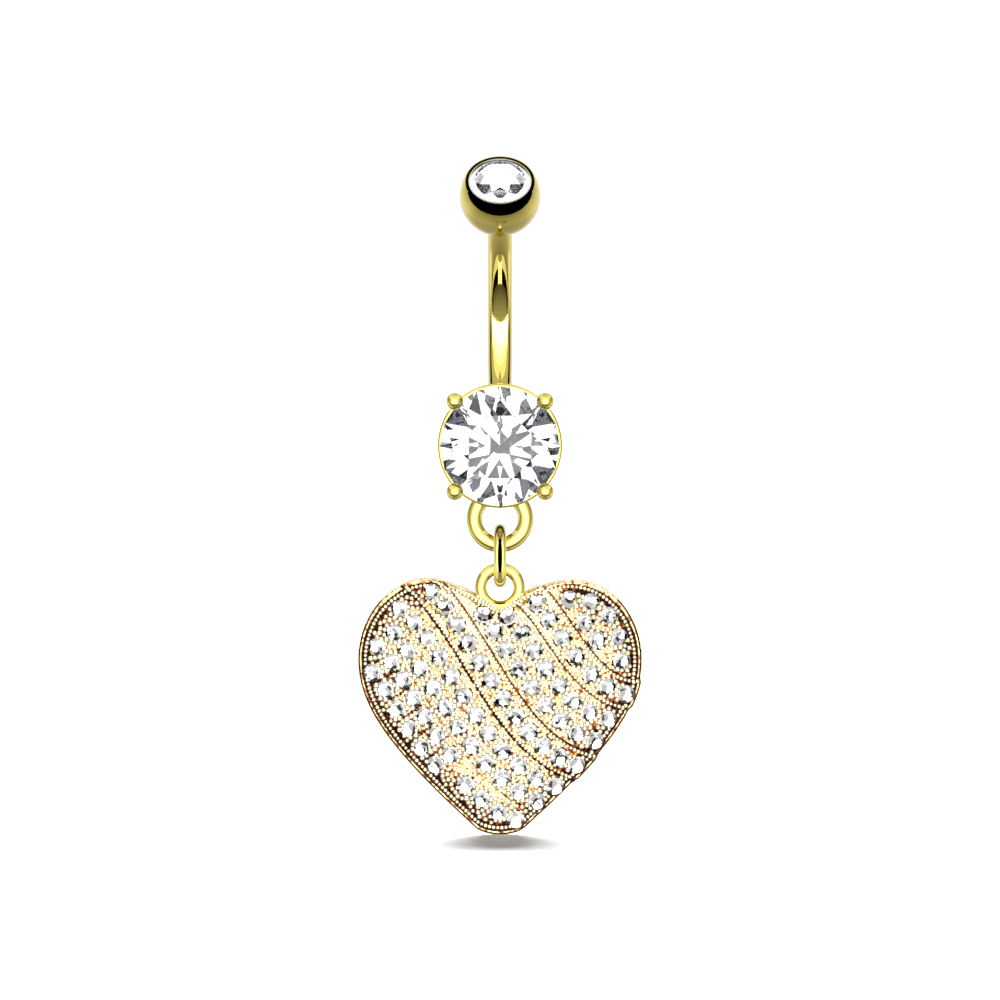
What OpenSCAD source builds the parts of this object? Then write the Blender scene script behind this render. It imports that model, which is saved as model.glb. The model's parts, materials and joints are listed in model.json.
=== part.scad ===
// Navel ring: a bent bar with a screw-on ball at its top, a round stone in a
// four-prong basket at its bottom, and a heart paved with small stones that
// hangs from the basket on a jump ring.
// Millimetres. +Z is up and -Y is the front. The origin is the middle of the
// bar's bend, where it passes through the piercing.

/* [Bar] */
// Diameter of the bar
bar_d = 1.6; // [1.4:0.1:2]
// Radius that the bar is bent to, at the middle of its thickness
bend_r = 7.9; // [7.4:0.1:9]
// How far the bar turns from its middle up to the ball, in degrees
turn_up = 45; // [38:1:50]
// How far the bar turns from its middle down to the basket, in degrees
turn_down = 60; // [54:1:66]
// Diameter of the post that the ball screws on to
post_d = 1.2; // [0.8:0.1:1.3]
// Length of that post
post_l = 2.1; // [1.6:0.1:2.3]

/* [Top ball] */
// Diameter of the ball
ball_d = 5.3; // [5:0.1:6]
// Height of the ball's flat face above the ball's middle
face_h = 1.38; // [1.25:0.01:1.6]
// Outer diameter of the bright cup that holds the crystal
cup_d = 4; // [3.7:0.1:4.2]
// Depth of the cup below the ball's face
cup_depth = 1.25; // [1.2:0.05:1.3]
// How far the cup's lip stands above the ball's face
lip_rise = 0.14; // [0.1:0.01:0.2]
// Thickness of the cup's side wall
cup_wall = 0.2; // [0.15:0.05:0.3]
// How far the cup's lip reaches in over the edge of the crystal
lip_reach = 0.14; // [0.1:0.01:0.2]

/* [Basket] */
// Diameter of the large round stone
stone_d = 7.8; // [7:0.1:8.5]
// How far the basket's rim shows outside the stone
rim_show = 0.15; // [0.1:0.01:0.3]
// Height of the basket's rim, along the stone's axis
rim_h = 0.9; // [0.7:0.05:1.1]
// Thickness of the basket's rim
rim_wall = 0.5; // [0.4:0.05:0.7]
// Diameter of the four prongs
prong_d = 0.95; // [0.8:0.05:1.05]
// Diameter of the round heads on the prongs
head_d = 1.12; // [1:0.02:1.3]
// Diameter of the plate at the basket's back
plate_d = 4.4; // [4:0.1:5]
// Thickness of that plate
plate_t = 1; // [0.9:0.1:1.4]
// Height above the stone's axis at which the bar meets the plate
bar_lift = 1.95; // [1.7:0.05:2.2]
// Diameter of the wire ring halfway down the prongs
gallery_wire = 0.6; // [0.5:0.05:0.8]

/* [Hanging parts] */
// Diameter of the hole in the basket's loop
loop_hole = 2.3; // [2.1:0.1:2.8]
// Thickness of the basket's loop
loop_wire = 1.04; // [0.8:0.02:1.2]
// How far the middle of that hole lies below the basket's rim
loop_drop = 0.75; // [0.6:0.05:1]
// Diameter of the hole in the jump ring
ring_hole = 2.55; // [2.4:0.05:3]
// Thickness of the jump ring
ring_wire = 0.82; // [0.6:0.02:0.84]
// Diameter of the hole in the heart's bail
bail_hole = 1.72; // [1.7:0.02:2.2]
// Thickness of the heart's bail
bail_wire = 0.78; // [0.6:0.02:0.9]

/* [Heart] */
// Width of the heart
heart_w = 18.5; // [18:0.5:22]
// Height of the heart from its point to the tops of its lobes
heart_h = 16.65; // [16.2:0.05:20]
// How far the bail's middle lies below the tops of the lobes
bail_low = 0.5; // [0.3:0.05:0.7]
// How far the bail's wire stands out in front of the edge of the heart's face
bail_out = 0.3; // [0:0.05:0.5]
// Height of the heart's side, from its back to the edge of its face
side_h = 1.9; // [1.6:0.1:2.4]
// Height of the domed face above that edge
dome_h = 1.9; // [1.4:0.1:2.6]
// Thickness of the domed face
face_t = 1; // [0.9:0.05:1.2]
// Thickness of the heart's side wall at its open back
side_wall = 1.5; // [1.2:0.1:1.8]
// Width of the two raised ribbons across the heart
ribbon_w = 1.95; // [1.7:0.05:2.1]
// How far those ribbons stand above the face
ribbon_rise = 0.3; // [0.15:0.05:0.4]
// How far the ribbons stand out past the heart's side
ribbon_out = 0.12; // [0.05:0.01:0.2]
// How far the field of stones left of the long ribbon stands above the lower left one
field_rise = 0.12; // [0.05:0.01:0.2]
// How far that field reaches past the middles of its outer row of stones
field_margin = 0.8; // [0.65:0.05:0.9]
// Diameter of the small stones
small_d = 1.1; // [1:0.02:1.12]

/* [Hidden] */

$fn = 64;
fit_gap = 0.04;   // between a stone or cup and the metal that holds it
hang_gap = 0.05;  // between two rings, one hanging in the other
overlap = 0.01;   // how far a cutter passes a face that it cuts

// Proportions of the cut stones, as shares of their diameters
TABLE_SHARE = 0.56;
CROWN_SHARE = 0.15;
GIRDLE_SHARE = 0.025;
PAVILION_SHARE = 0.43;
GEM_CROWN_SHARE = 0.13;
GEM_PAVILION_SHARE = 0.28;

bar_r = bar_d / 2;
ball_r = ball_d / 2;
stone_r = stone_d / 2;

// Places along the bar: a turn from the level gives a point of the YZ plane.
function on_bend(turn) = [0, bend_r * (cos(turn) - 1), bend_r * sin(turn)];
bar_top = on_bend(turn_up);
bar_bottom = on_bend(-turn_down);
up_slope = [0, -sin(turn_up), cos(turn_up)];

// The ball's flat foot is where it is as wide as the bar and a little more.
foot_margin = 0.1;
foot_r = bar_r + foot_margin;
foot_h = sqrt(ball_r * ball_r - foot_r * foot_r);
ball_at = bar_top + (foot_h + fit_gap) * up_slope;

// The large stone's heights from its girdle, and its place.
stone_crown = stone_d * CROWN_SHARE;
stone_girdle = stone_d * GIRDLE_SHARE;
stone_pavilion = stone_d * PAVILION_SHARE;
culet_room = 0.15;
plate_face = stone_girdle / 2 + stone_pavilion + culet_room;
stone_at = bar_bottom - [0, plate_face + plate_t / 2, bar_lift];

// The crystal in the ball
gem_d = cup_d - 2 * (cup_wall + fit_gap);
gem_crown = gem_d * GEM_CROWN_SHARE;
gem_girdle = gem_d * GIRDLE_SHARE;
gem_pavilion = gem_d * GEM_PAVILION_SHARE;
gem_h = face_h - gem_girdle;   // the girdle's height above the ball's middle

// The rings, each hanging from the one above it
rim_r = stone_r + rim_show;
rim_top = -0.3;                // the rim's front edge, behind the girdle
loop_back = rim_h + 0.35;      // the loop's plane, which cuts the rim, behind the girdle
plate_back = plate_face + plate_t / 2;
prong_out = 0.24;              // how far a prong's axis lies outside the stone
head_rise = 0.36;              // how far a prong's head lies in front of the girdle
knee_rise = 0.2;               // how far a prong's knee lies in front of the rim's back
knee_back = rim_h - rim_top - knee_rise;
loop_r = (loop_hole + loop_wire) / 2;
ring_r = (ring_hole + ring_wire) / 2;
bail_r = (bail_hole + bail_wire) / 2;
hang_y = stone_at[1] + loop_back;
loop_z = stone_at[2] - rim_r - loop_drop;
ring_z = loop_z - loop_hole / 2 - ring_hole / 2 + hang_gap;
bail_z = ring_z - ring_hole / 2 - bail_hole / 2 + hang_gap;
swing_pivot = [0, hang_y, loop_z - loop_r];
sway_pivot = [0, hang_y, ring_z - ring_r];

// A point of the heart from its shares: across from the middle line to the
// widest point, and down from the tops of the lobes to the point.
function heart_point(share) = [share[0] * heart_w / 2, bail_low - share[1] * heart_h];

// The right half of the heart's outline, as Bezier arcs from the cleft to the
// point. Columns: start, first handle, second handle, end, in shares.
OUTLINE_ARCS = [
    [[0, 0.115], [0.13, 0.062], [0.3, 0], [0.51, 0]],
    [[0.51, 0], [0.79, 0], [1, 0.144], [1, 0.312]],
    [[1, 0.312], [1, 0.49], [0.8, 0.655], [0.173, 0.973]],
    [[0.173, 0.973], [0.145, 0.987], [0.07, 1], [0, 1]],
];
ARC_STEPS = [5, 8, 12, 3];

// The rows of small stones. Columns: four points that the row passes through,
// in shares, then the number of stones, and the form that they are set in.
LOW = 0;
FIELD = 1;
RIBBON = 2;
ROWS = [
    [[[-0.483, 0.045], [-0.17, 0.288], [0.142, 0.546], [0.538, 0.722]], 12, RIBBON],
    [[[0.262, 0.086], [0.441, 0.222], [0.64, 0.362], [0.884, 0.444]], 7, RIBBON],
    [[[-0.708, 0.112], [-0.37, 0.345], [-0.046, 0.617], [0.387, 0.807]], 12, FIELD],
    [[[-0.746, 0.207], [-0.445, 0.441], [-0.132, 0.686], [0.258, 0.865]], 11, FIELD],
    [[[-0.866, 0.261], [-0.683, 0.386], [-0.53, 0.53], [-0.349, 0.678]], 7, LOW],
    [[[-0.897, 0.361], [-0.752, 0.476], [-0.609, 0.604], [-0.452, 0.721]], 6, LOW],
    [[[-0.237, 0.799], [-0.132, 0.853], [-0.012, 0.905], [0.112, 0.938]], 4, LOW],
    [[[-0.118, 0.132], [0.098, 0.314], [0.355, 0.506], [0.668, 0.628]], 9, LOW],
    [[[0.055, 0.142], [0.268, 0.294], [0.48, 0.448], [0.76, 0.545]], 8, LOW],
    [[[0.49, 0.074], [0.568, 0.135], [0.629, 0.186], [0.685, 0.232]], 3, LOW],
    [[[0.64, 0.085], [0.77, 0.139], [0.837, 0.222], [0.858, 0.315]], 4, LOW],
];
LONG_RIBBON = 0;
SHORT_RIBBON = 1;
FIELD_EDGE_ROW = 3;
CURVE_STEPS = 12;
PAST_END = 0.14;    // how far a ribbon's line runs on past its end stones, as a share
AHEAD = 0.01;       // the step that gives a line's direction

FORM_RISE = [0, field_rise, ribbon_rise];
FACE_RINGS = 8;
DOME_POWER = 2.2;
MIDDLE_SHARE = 0.42;   // how far down the heart its highest point lies
CORE_SHARE = 0.43;     // the mean radius that rounds the dome's middle, to the width
HEART_MIDDLE = heart_point([0, MIDDLE_SHARE]);
CORE_R = heart_w * CORE_SHARE;
heart_back = bail_wire / 2 - bail_out - side_h;   // the back's depth, from the bail's middle

// Curves
function bezier(p, t) = pow(1 - t, 3) * p[0] + 3 * t * pow(1 - t, 2) * p[1]
    + 3 * t * t * (1 - t) * p[2] + pow(t, 3) * p[3];

// The curve through four points that it reaches at 0, 1/3, 2/3 and 1
function through(p, t) = -4.5 * (t - 1/3) * (t - 2/3) * (t - 1) * p[0]
    + 13.5 * t * (t - 2/3) * (t - 1) * p[1]
    - 13.5 * t * (t - 1/3) * (t - 1) * p[2]
    + 4.5 * t * (t - 1/3) * (t - 2/3) * p[3];

right_half = [for (arc = [0 : len(OUTLINE_ARCS) - 1], step = [0 : ARC_STEPS[arc] - 1])
    heart_point(bezier(OUTLINE_ARCS[arc], step / ARC_STEPS[arc]))];
heart_tip = heart_point([0, 1]);
// Clockwise from the cleft, down the right side to the point and up the left
outline = concat(right_half, [heart_tip],
    [for (i = [len(right_half) - 1 : -1 : 1]) [-right_half[i][0], right_half[i][1]]]);
SIDES = len(outline);

// The outline's distance from the heart's middle in the direction d
function crossing(a, b, d) = let (e = b - a, det = d[0] * e[1] - d[1] * e[0])
    abs(det) < 1e-9 ? -1
    : let (share = (d[1] * a[0] - d[0] * a[1]) / det)
        share < -1e-9 || share > 1 + 1e-9 ? -1 : (a + share * e) * d;
function outline_reach(d) = max([for (i = [0 : SIDES - 1])
    crossing(outline[i] - HEART_MIDDLE, outline[(i + 1) % SIDES] - HEART_MIDDLE, d)]);

// The dome's height above the heart's back, from a point's distance to the
// middle and the outline's reach that way. Its contours are round at the middle
// and take the heart's outline towards the edge.
function dome_height(distance, reach) = let (
        share = distance / reach,
        blend = share * share,
        contour = distance / ((1 - blend) * CORE_R + blend * reach))
    side_h + dome_h * (1 - pow(min(contour, 1), DOME_POWER));
function face_height(p) = let (d = p - HEART_MIDDLE, distance = norm(d))
    distance < 1e-6 ? side_h + dome_h : dome_height(distance, outline_reach(d / distance));

// The small stones: a frame for each, from its place and the face's slope there
NEAR = 0.05;
function unit(v) = v / norm(v);
function stone_frame(p, rise) = let (
        height = face_height(p),
        run = unit([NEAR, 0, face_height(p + [NEAR, 0]) - height]),
        climb = unit([0, NEAR, face_height(p + [0, NEAR]) - height]),
        out = unit(cross(run, climb)),
        side = cross(out, run))
    [run, side, out, [p[0], p[1], heart_back + height + rise]];
function placed(frame, q) = q[0] * frame[0] + q[1] * frame[1] + q[2] * frame[2] + frame[3];
small_frames = [for (row = ROWS, i = [0 : row[1] - 1])
    stone_frame(heart_point(through(row[0], i / (row[1] - 1))), FORM_RISE[row[2]])];

// A small stone has a table, eight crown facets, a girdle and eight pavilion facets.
SMALL_SIDES = 8;
SMALL_SINK = 0.04;   // how far its girdle lies below the metal's face
small_r = small_d / 2;
small_levels = [   // radius and height of each ring of corners
    [small_r * TABLE_SHARE, small_d * (GIRDLE_SHARE / 2 + CROWN_SHARE)],
    [small_r, small_d * GIRDLE_SHARE / 2],
    [small_r, -small_d * GIRDLE_SHARE / 2],
];
small_depth = small_d * (GIRDLE_SHARE / 2 + PAVILION_SHARE);
small_corners = concat(
    [for (level = small_levels, i = [0 : SMALL_SIDES - 1]) let (turn = 360 * i / SMALL_SIDES)
        [level[0] * cos(turn), level[0] * sin(turn), level[1] - SMALL_SINK]],
    [[0, 0, -small_depth - SMALL_SINK]]);
small_culet = len(small_corners) - 1;
small_faces = concat(
    [[for (i = [SMALL_SIDES - 1 : -1 : 0]) i]],
    [for (level = [0, 1], i = [0 : SMALL_SIDES - 1]) let (j = (i + 1) % SMALL_SIDES, a = level * SMALL_SIDES)
        [a + i, a + j, a + SMALL_SIDES + j, a + SMALL_SIDES + i]],
    [for (i = [0 : SMALL_SIDES - 1]) let (a = 2 * SMALL_SIDES)
        [a + i, a + (i + 1) % SMALL_SIDES, small_culet]]);

// A round brilliant of diameter d, its girdle at the origin and its table up
module brilliant(d, crown, pavilion) {
    n = 8;
    half = 180 / n;
    girdle = d * GIRDLE_SHARE;
    r = d / 2;
    table_r = r * TABLE_SHARE;
    star_r = (table_r + r) * 0.5;         // the corners where star and girdle facets meet
    lower_r = r * 0.24;                   // the inner ends of the lower girdle facets
    top = girdle / 2 + crown;
    // These two heights keep the kite-shaped facets flat.
    star_h = top - crown * (star_r * cos(half) - table_r) / (r - table_r);
    lower_h = -girdle / 2 - pavilion * (1 - lower_r * cos(half) / r);
    function ring(radius, height, count, from) = [for (i = [0 : count - 1]) let (turn = from + 360 * i / count)
        [radius * cos(turn), radius * sin(turn), height]];
    table = 0;
    star = n;
    upper = 2 * n;
    lower = 4 * n;
    inner = 6 * n;
    culet = 7 * n;
    points = concat(
        ring(table_r, top, n, 0), ring(star_r, star_h, n, half), ring(r, girdle / 2, 2 * n, 0),
        ring(r, -girdle / 2, 2 * n, 0), ring(lower_r, lower_h, n, half), [[0, 0, -girdle / 2 - pavilion]]);
    faces = concat(
        [[for (i = [n - 1 : -1 : 0]) table + i]],
        [for (i = [0 : n - 1]) let (j = (i + 1) % n, k = (i + n - 1) % n) each [
            [table + i, table + j, star + i],
            [table + i, star + i, upper + 2 * i, star + k],
            [star + i, upper + 2 * i + 1, upper + 2 * i],
            [star + i, upper + 2 * j, upper + 2 * i + 1],
            [lower + 2 * i, lower + 2 * i + 1, inner + i],
            [lower + 2 * i + 1, lower + 2 * j, inner + i],
            [lower + 2 * i, inner + i, culet, inner + k]]],
        [for (i = [0 : 2 * n - 1]) let (j = (i + 1) % (2 * n)) [upper + i, upper + j, lower + j, lower + i]]);
    polyhedron(points, faces);
}

// The space that such a stone needs in its setting
module stone_room(d, crown, pavilion) {
    r = d / 2 + fit_gap;
    edge = d * GIRDLE_SHARE / 2 + fit_gap;
    table_r = d / 2 * TABLE_SHARE + fit_gap;
    rotate_extrude()
        polygon([[0, -edge - pavilion], [r, -edge], [r, edge], [table_r, edge + crown], [0, edge + crown]]);
}

module ring_of(r, wire, sides = 64, wire_sides = 32) {
    rotate_extrude($fn = sides) translate([r, 0]) circle(d = wire, $fn = wire_sides);
}

// Stands a shape on the stone's axis: its +Z points to the front and its +Y up.
module facing_front(at) {
    translate(at) rotate([90, 0, 0]) children();
}

// Turns +Z to the ball's axis
module on_ball_axis(at = [0, 0, 0]) {
    translate(at) rotate([turn_up, 0, 0]) children();
}

module bent_bar() {
    translate([0, -bend_r, 0]) rotate([90, 0, 90]) rotate(-turn_down)
        rotate_extrude(angle = turn_up + turn_down) translate([bend_r, 0]) circle(d = bar_d);
    on_ball_axis(bar_top) translate([0, 0, -overlap]) cylinder(h = post_l + overlap, d = post_d);
}

// One prong: a leg that leans out from the plate, a knee, an upright and a round head
module prong() {
    top_r = stone_r + prong_out;
    foot_r = (plate_d - prong_d) / 2;
    knee_d = prong_d + fit_gap;
    head_h = stone_girdle / 2 + head_rise;
    lean = [top_r - foot_r, plate_back - knee_back];
    translate([foot_r, 0, -plate_back]) rotate([0, atan2(lean[0], lean[1]), 0])
        cylinder(h = norm(lean), d = prong_d);
    translate([top_r, 0, -knee_back]) {
        sphere(d = knee_d);
        cylinder(h = knee_back + head_h, d = prong_d);
    }
    translate([top_r, 0, head_h]) sphere(d = head_d);
}

// The wire ring that joins the prongs halfway down their legs
module gallery() {
    mid_r = (stone_r + prong_out + (plate_d - prong_d) / 2) / 2;
    translate([0, 0, -(plate_back + knee_back) / 2]) ring_of(mid_r, gallery_wire);
}

module basket() {
    facing_front(stone_at) difference() {
        union() {
            translate([0, 0, -plate_face - plate_t]) cylinder(h = plate_t, d = plate_d);
            translate([0, 0, rim_top - rim_h]) difference() {
                cylinder(h = rim_h, r = rim_r);
                translate([0, 0, -overlap]) cylinder(h = rim_h + 2 * overlap, r = rim_r - rim_wall);
            }
            gallery();
            for (quarter = [0 : 3]) rotate(45 + 90 * quarter) prong();
            translate([0, -rim_r - loop_drop, -loop_back]) ring_of(loop_r, loop_wire);
        }
        stone_room(stone_d, stone_crown, stone_pavilion);
    }
}

module barbell() {
    color("gold") union() {
        bent_bar();
        basket();
    }
}

module main_stone() {
    eighth = 45;
    color("white") facing_front(stone_at) rotate(eighth / 2)
        brilliant(stone_d, stone_crown, stone_pavilion);
}

module top_ball() {
    bore_h = post_l + 2 * fit_gap;
    color("gold") on_ball_axis(ball_at) difference() {
        sphere(d = ball_d);
        translate([0, 0, face_h]) cylinder(h = ball_r, d = ball_d);
        translate([0, 0, -foot_h - ball_r]) cylinder(h = ball_r, d = ball_d);
        translate([0, 0, -foot_h - overlap]) cylinder(h = bore_h + overlap, d = post_d + 2 * fit_gap);
        translate([0, 0, face_h - cup_depth - fit_gap])
            cylinder(h = cup_depth + ball_r, d = cup_d + 2 * fit_gap);
    }
}

module gem_cup() {
    color("silver") on_ball_axis(ball_at) difference() {
        translate([0, 0, face_h - cup_depth]) cylinder(h = cup_depth + lip_rise, d = cup_d);
        translate([0, 0, gem_h]) stone_room(gem_d, gem_crown, gem_pavilion);
        translate([0, 0, gem_h]) cylinder(h = ball_r, d = gem_d - 2 * lip_reach);
    }
}

module top_gem() {
    color("white") on_ball_axis(ball_at) translate([0, 0, gem_h])
        brilliant(gem_d, gem_crown, gem_pavilion);
}

module jump_ring() {
    color("gold") translate([0, hang_y, ring_z]) rotate([0, 90, 0]) ring_of(ring_r, ring_wire);
}

// The heart's outer form, or its hollow: out moves its side, rise its face and back its foot.
module heart_form(out, rise, back) {
    function corner(i, share) = let (
            d = outline[i] - HEART_MIDDLE,
            reach = norm(d),
            p = HEART_MIDDLE + d * share * (1 + out / reach))
        [p[0], p[1], heart_back + dome_height(reach * share, reach) + rise];
    face = concat([[HEART_MIDDLE[0], HEART_MIDDLE[1], heart_back + side_h + dome_h + rise]],
        [for (ring = [1 : FACE_RINGS], i = [0 : SIDES - 1]) corner(i, ring / FACE_RINGS)]);
    foot = [for (i = [0 : SIDES - 1]) let (p = corner(i, 1)) [p[0], p[1], heart_back - back]];
    function at(ring, i) = 1 + (ring - 1) * SIDES + i % SIDES;
    edge = 1 + FACE_RINGS * SIDES;
    polyhedron(concat(face, foot), concat(
        [for (i = [0 : SIDES - 1]) [0, at(1, i), at(1, i + 1)]],
        [for (ring = [1 : FACE_RINGS - 1], i = [0 : SIDES - 1]) each [
            [at(ring, i), at(ring + 1, i), at(ring + 1, i + 1)],
            [at(ring, i), at(ring + 1, i + 1), at(ring, i + 1)]]],
        [for (i = [0 : SIDES - 1])
            [at(FACE_RINGS, i), edge + i, edge + (i + 1) % SIDES, at(FACE_RINGS, i + 1)]],
        [[for (i = [SIDES - 1 : -1 : 0]) edge + i]]));
}

// The line of a row, moved sideways by aside, from before its first stone to past its last
function row_line(row, aside) = [for (step = [0 : CURVE_STEPS]) let (
        t = -PAST_END + (1 + 2 * PAST_END) * step / CURVE_STEPS,
        p = heart_point(through(ROWS[row][0], t)),
        ahead = unit(heart_point(through(ROWS[row][0], t + AHEAD)) - p))
    p + aside * [ahead[1], -ahead[0]]];
function reversed(list) = [for (i = [len(list) - 1 : -1 : 0]) list[i]];

// A prism over the strip between two lines, through the whole heart
module strip(line_a, line_b) {
    translate([0, 0, heart_back]) linear_extrude(side_h + dome_h + 2 * ribbon_rise)
        polygon(concat(line_a, reversed(line_b)));
}

// The seat of one small stone: a pocket that is open to the front
module small_seat(frame) {
    opening = 0.5;
    room = small_r + fit_gap;
    multmatrix([for (i = [0 : 2]) [frame[0][i], frame[1][i], frame[2][i], frame[3][i]]]) hull() {
        translate([0, 0, -SMALL_SINK - small_d * GIRDLE_SHARE])
            cylinder(h = opening, r = room, $fn = SMALL_SIDES);
        translate([0, 0, -SMALL_SINK - small_depth - fit_gap])
            cylinder(h = fit_gap, r = fit_gap, $fn = SMALL_SIDES);
    }
}

module heart() {
    color("gold") facing_front([0, hang_y, bail_z]) {
        difference() {
            union() {
                heart_form(0, 0, 0);
                for (row = [LONG_RIBBON, SHORT_RIBBON]) intersection() {
                    heart_form(ribbon_out, ribbon_rise, 0);
                    strip(row_line(row, -ribbon_w / 2), row_line(row, ribbon_w / 2));
                }
                intersection() {
                    heart_form(0, field_rise, 0);
                    strip(row_line(LONG_RIBBON, 0), row_line(FIELD_EDGE_ROW, field_margin));
                }
            }
            heart_form(-side_wall, -face_t, overlap);
            for (frame = small_frames) small_seat(frame);
        }
        ring_of(bail_r, bail_wire, 28, 10);
    }
}

module pave_stones() {
    corners = len(small_corners);
    color("white") facing_front([0, hang_y, bail_z]) polyhedron(
        [for (frame = small_frames, q = small_corners) placed(frame, q)],
        [for (s = [0 : len(small_frames) - 1], f = small_faces) [for (i = f) s * corners + i]]);
}

barbell();
main_stone();
top_ball();
gem_cup();
top_gem();
jump_ring();
heart();
pave_stones();
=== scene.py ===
# %% [markdown]
# # A navel ring
# A bent bar with a screw-on ball at the top, a round stone in a basket at the
# bottom, and a heart paved with small stones that hangs from the basket. The
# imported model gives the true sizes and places. This lesson gives each piece
# its finished surface, one piece at a time, and then lights it.
#
# Blender counts in metres, and a jeweller in millimetres, so `MM` turns one
# into the other, and `in_mm` turns it back for printing.

# %% Load the frame
import json
import math

import bmesh
import bpy
import numpy as np
from mathutils import Matrix, Vector

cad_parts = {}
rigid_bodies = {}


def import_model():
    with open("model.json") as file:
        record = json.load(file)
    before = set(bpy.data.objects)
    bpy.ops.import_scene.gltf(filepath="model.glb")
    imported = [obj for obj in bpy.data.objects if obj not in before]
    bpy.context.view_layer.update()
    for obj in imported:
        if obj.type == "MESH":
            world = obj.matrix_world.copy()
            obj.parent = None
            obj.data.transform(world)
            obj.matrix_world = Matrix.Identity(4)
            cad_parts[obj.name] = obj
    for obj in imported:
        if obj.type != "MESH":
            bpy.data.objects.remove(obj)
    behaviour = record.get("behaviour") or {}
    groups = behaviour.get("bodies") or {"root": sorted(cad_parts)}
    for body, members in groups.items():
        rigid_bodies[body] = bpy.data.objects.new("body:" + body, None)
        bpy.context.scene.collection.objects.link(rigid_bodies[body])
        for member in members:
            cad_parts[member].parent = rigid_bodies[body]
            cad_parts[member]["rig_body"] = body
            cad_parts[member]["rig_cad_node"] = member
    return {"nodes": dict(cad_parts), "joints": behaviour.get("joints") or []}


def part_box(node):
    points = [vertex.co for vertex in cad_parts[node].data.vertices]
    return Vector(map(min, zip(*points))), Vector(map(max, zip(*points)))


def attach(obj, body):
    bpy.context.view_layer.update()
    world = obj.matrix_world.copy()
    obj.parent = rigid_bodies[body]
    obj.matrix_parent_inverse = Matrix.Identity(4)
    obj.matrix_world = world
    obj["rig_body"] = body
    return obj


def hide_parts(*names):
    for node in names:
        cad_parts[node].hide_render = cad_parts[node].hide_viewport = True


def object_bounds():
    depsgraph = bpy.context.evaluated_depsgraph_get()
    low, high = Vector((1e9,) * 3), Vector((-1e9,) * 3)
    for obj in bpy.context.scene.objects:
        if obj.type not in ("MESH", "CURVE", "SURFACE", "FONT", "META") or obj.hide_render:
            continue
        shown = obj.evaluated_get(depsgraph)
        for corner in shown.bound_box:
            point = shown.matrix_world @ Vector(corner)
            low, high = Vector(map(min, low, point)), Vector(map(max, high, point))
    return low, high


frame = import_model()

MM = 0.001


def in_mm(values):
    return [round(float(value) / MM, 2) for value in values]


cad_box = [list(corner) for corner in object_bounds()]
print("nodes:", sorted(frame["nodes"]))
print("CAD box, mm:", [in_mm(corner) for corner in cad_box])

# %% [markdown]
# ## Sizes
# The model's joints stand in the ball and at the middle of each wire that a
# ring hangs on, so they say where these parts are. Names in capitals are
# sizes and settings that stay. The bar's sizes are a maker's own, the same as
# in the model: a 14 gauge bar is 1.6 mm thick.

# %% Sizes and places
joints = {joint["name"]: joint for joint in frame["joints"]}
BALL_AT = Vector(joints["ball_turn"]["pos_m"])
SWING_AT = Vector(joints["link_swing"]["pos_m"])
SWAY_AT = Vector(joints["heart_sway"]["pos_m"])
BALL_TILT = math.radians(45)

BAR_R = 0.8 * MM
BEND_R = 7.9 * MM
TURN_UP = math.radians(45)
TURN_DOWN = math.radians(60)
POST_R = 0.6 * MM
POST_L = 2.1 * MM
FIT_GAP = 0.04 * MM

ring_low, ring_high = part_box("jump_ring")
RING_WIRE = ring_high.x - ring_low.x
RING_R = (ring_high.z - ring_low.z - RING_WIRE) / 2
RING_AT = (ring_low + ring_high) / 2

stone_low, stone_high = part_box("main_stone")
STONE_R = (stone_high.z - stone_low.z) / 2
print("ring wire and stone width, mm:", in_mm([RING_WIRE, 2 * STONE_R]))

# %% [markdown]
# ## Helpers for selecting and editing
# Blender's operators act on whatever is selected, and loading the model
# leaves all of it selected. So each step starts by selecting nothing and then
# one object. `edit` opens a mesh with all of it selected, and `choose_faces`
# then picks faces by their place and direction, where a modeller at the
# screen would click on them.

# %% Selecting and editing
FLAT_ON = 0.99  # a face that points the wanted way has at least this cosine


def pick(piece):
    """Selects one object and nothing else."""
    bpy.ops.object.select_all(action="DESELECT")
    piece.select_set(True)
    bpy.context.view_layer.objects.active = piece
    return piece


def new_shape(add, name, **settings):
    """Adds an object with one of Blender's operators, and names it."""
    bpy.ops.object.select_all(action="DESELECT")
    add(**settings)
    made = bpy.context.object
    made.name = name
    made.data.name = name
    return made


def edit(piece):
    """Opens a piece in edit mode with all of it selected."""
    pick(piece)
    bpy.ops.object.mode_set(mode="EDIT")
    bpy.ops.mesh.select_all(action="SELECT")


def stop_editing():
    bpy.ops.object.mode_set(mode="OBJECT")


def choose_faces(piece, wanted):
    """In edit mode, selects the faces whose middle and normal pass the test."""
    bpy.ops.mesh.select_mode(type="FACE")
    bpy.ops.mesh.select_all(action="DESELECT")
    shape = bmesh.from_edit_mesh(piece.data)
    count = 0
    for face in shape.faces:
        if wanted(face.calc_center_median(), face.normal):
            face.select_set(True)
            count += 1
    bmesh.update_edit_mesh(piece.data)
    return count


def extrude(way):
    """In edit mode, pushes what is selected out by a vector."""
    bpy.ops.mesh.extrude_region_move(TRANSFORM_OT_translate={"value": way})


def turn_outwards():
    """In edit mode, makes every face of a closed shape point out of it."""
    bpy.ops.mesh.select_all(action="SELECT")
    bpy.ops.mesh.normals_make_consistent(inside=False)


print("helpers for selecting and editing are ready")

# %% [markdown]
# ## Helpers for joining and placing
# A boolean does what a jeweller does with solder, drill and file: it joins
# two closed shapes, cuts one out of the other, or keeps what both share. A
# finished piece keeps its place in its mesh, and its object sits at the
# origin as the model's own nodes do, so `place` moves it and bakes the move.

# %% Joining and placing
def add_modifier(piece, kind, **settings):
    """Adds a modifier and applies it."""
    pick(piece)
    modifier = piece.modifiers.new(kind.lower(), kind)
    for key, value in settings.items():
        setattr(modifier, key, value)
    bpy.ops.object.modifier_apply(modifier=modifier.name)


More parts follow.
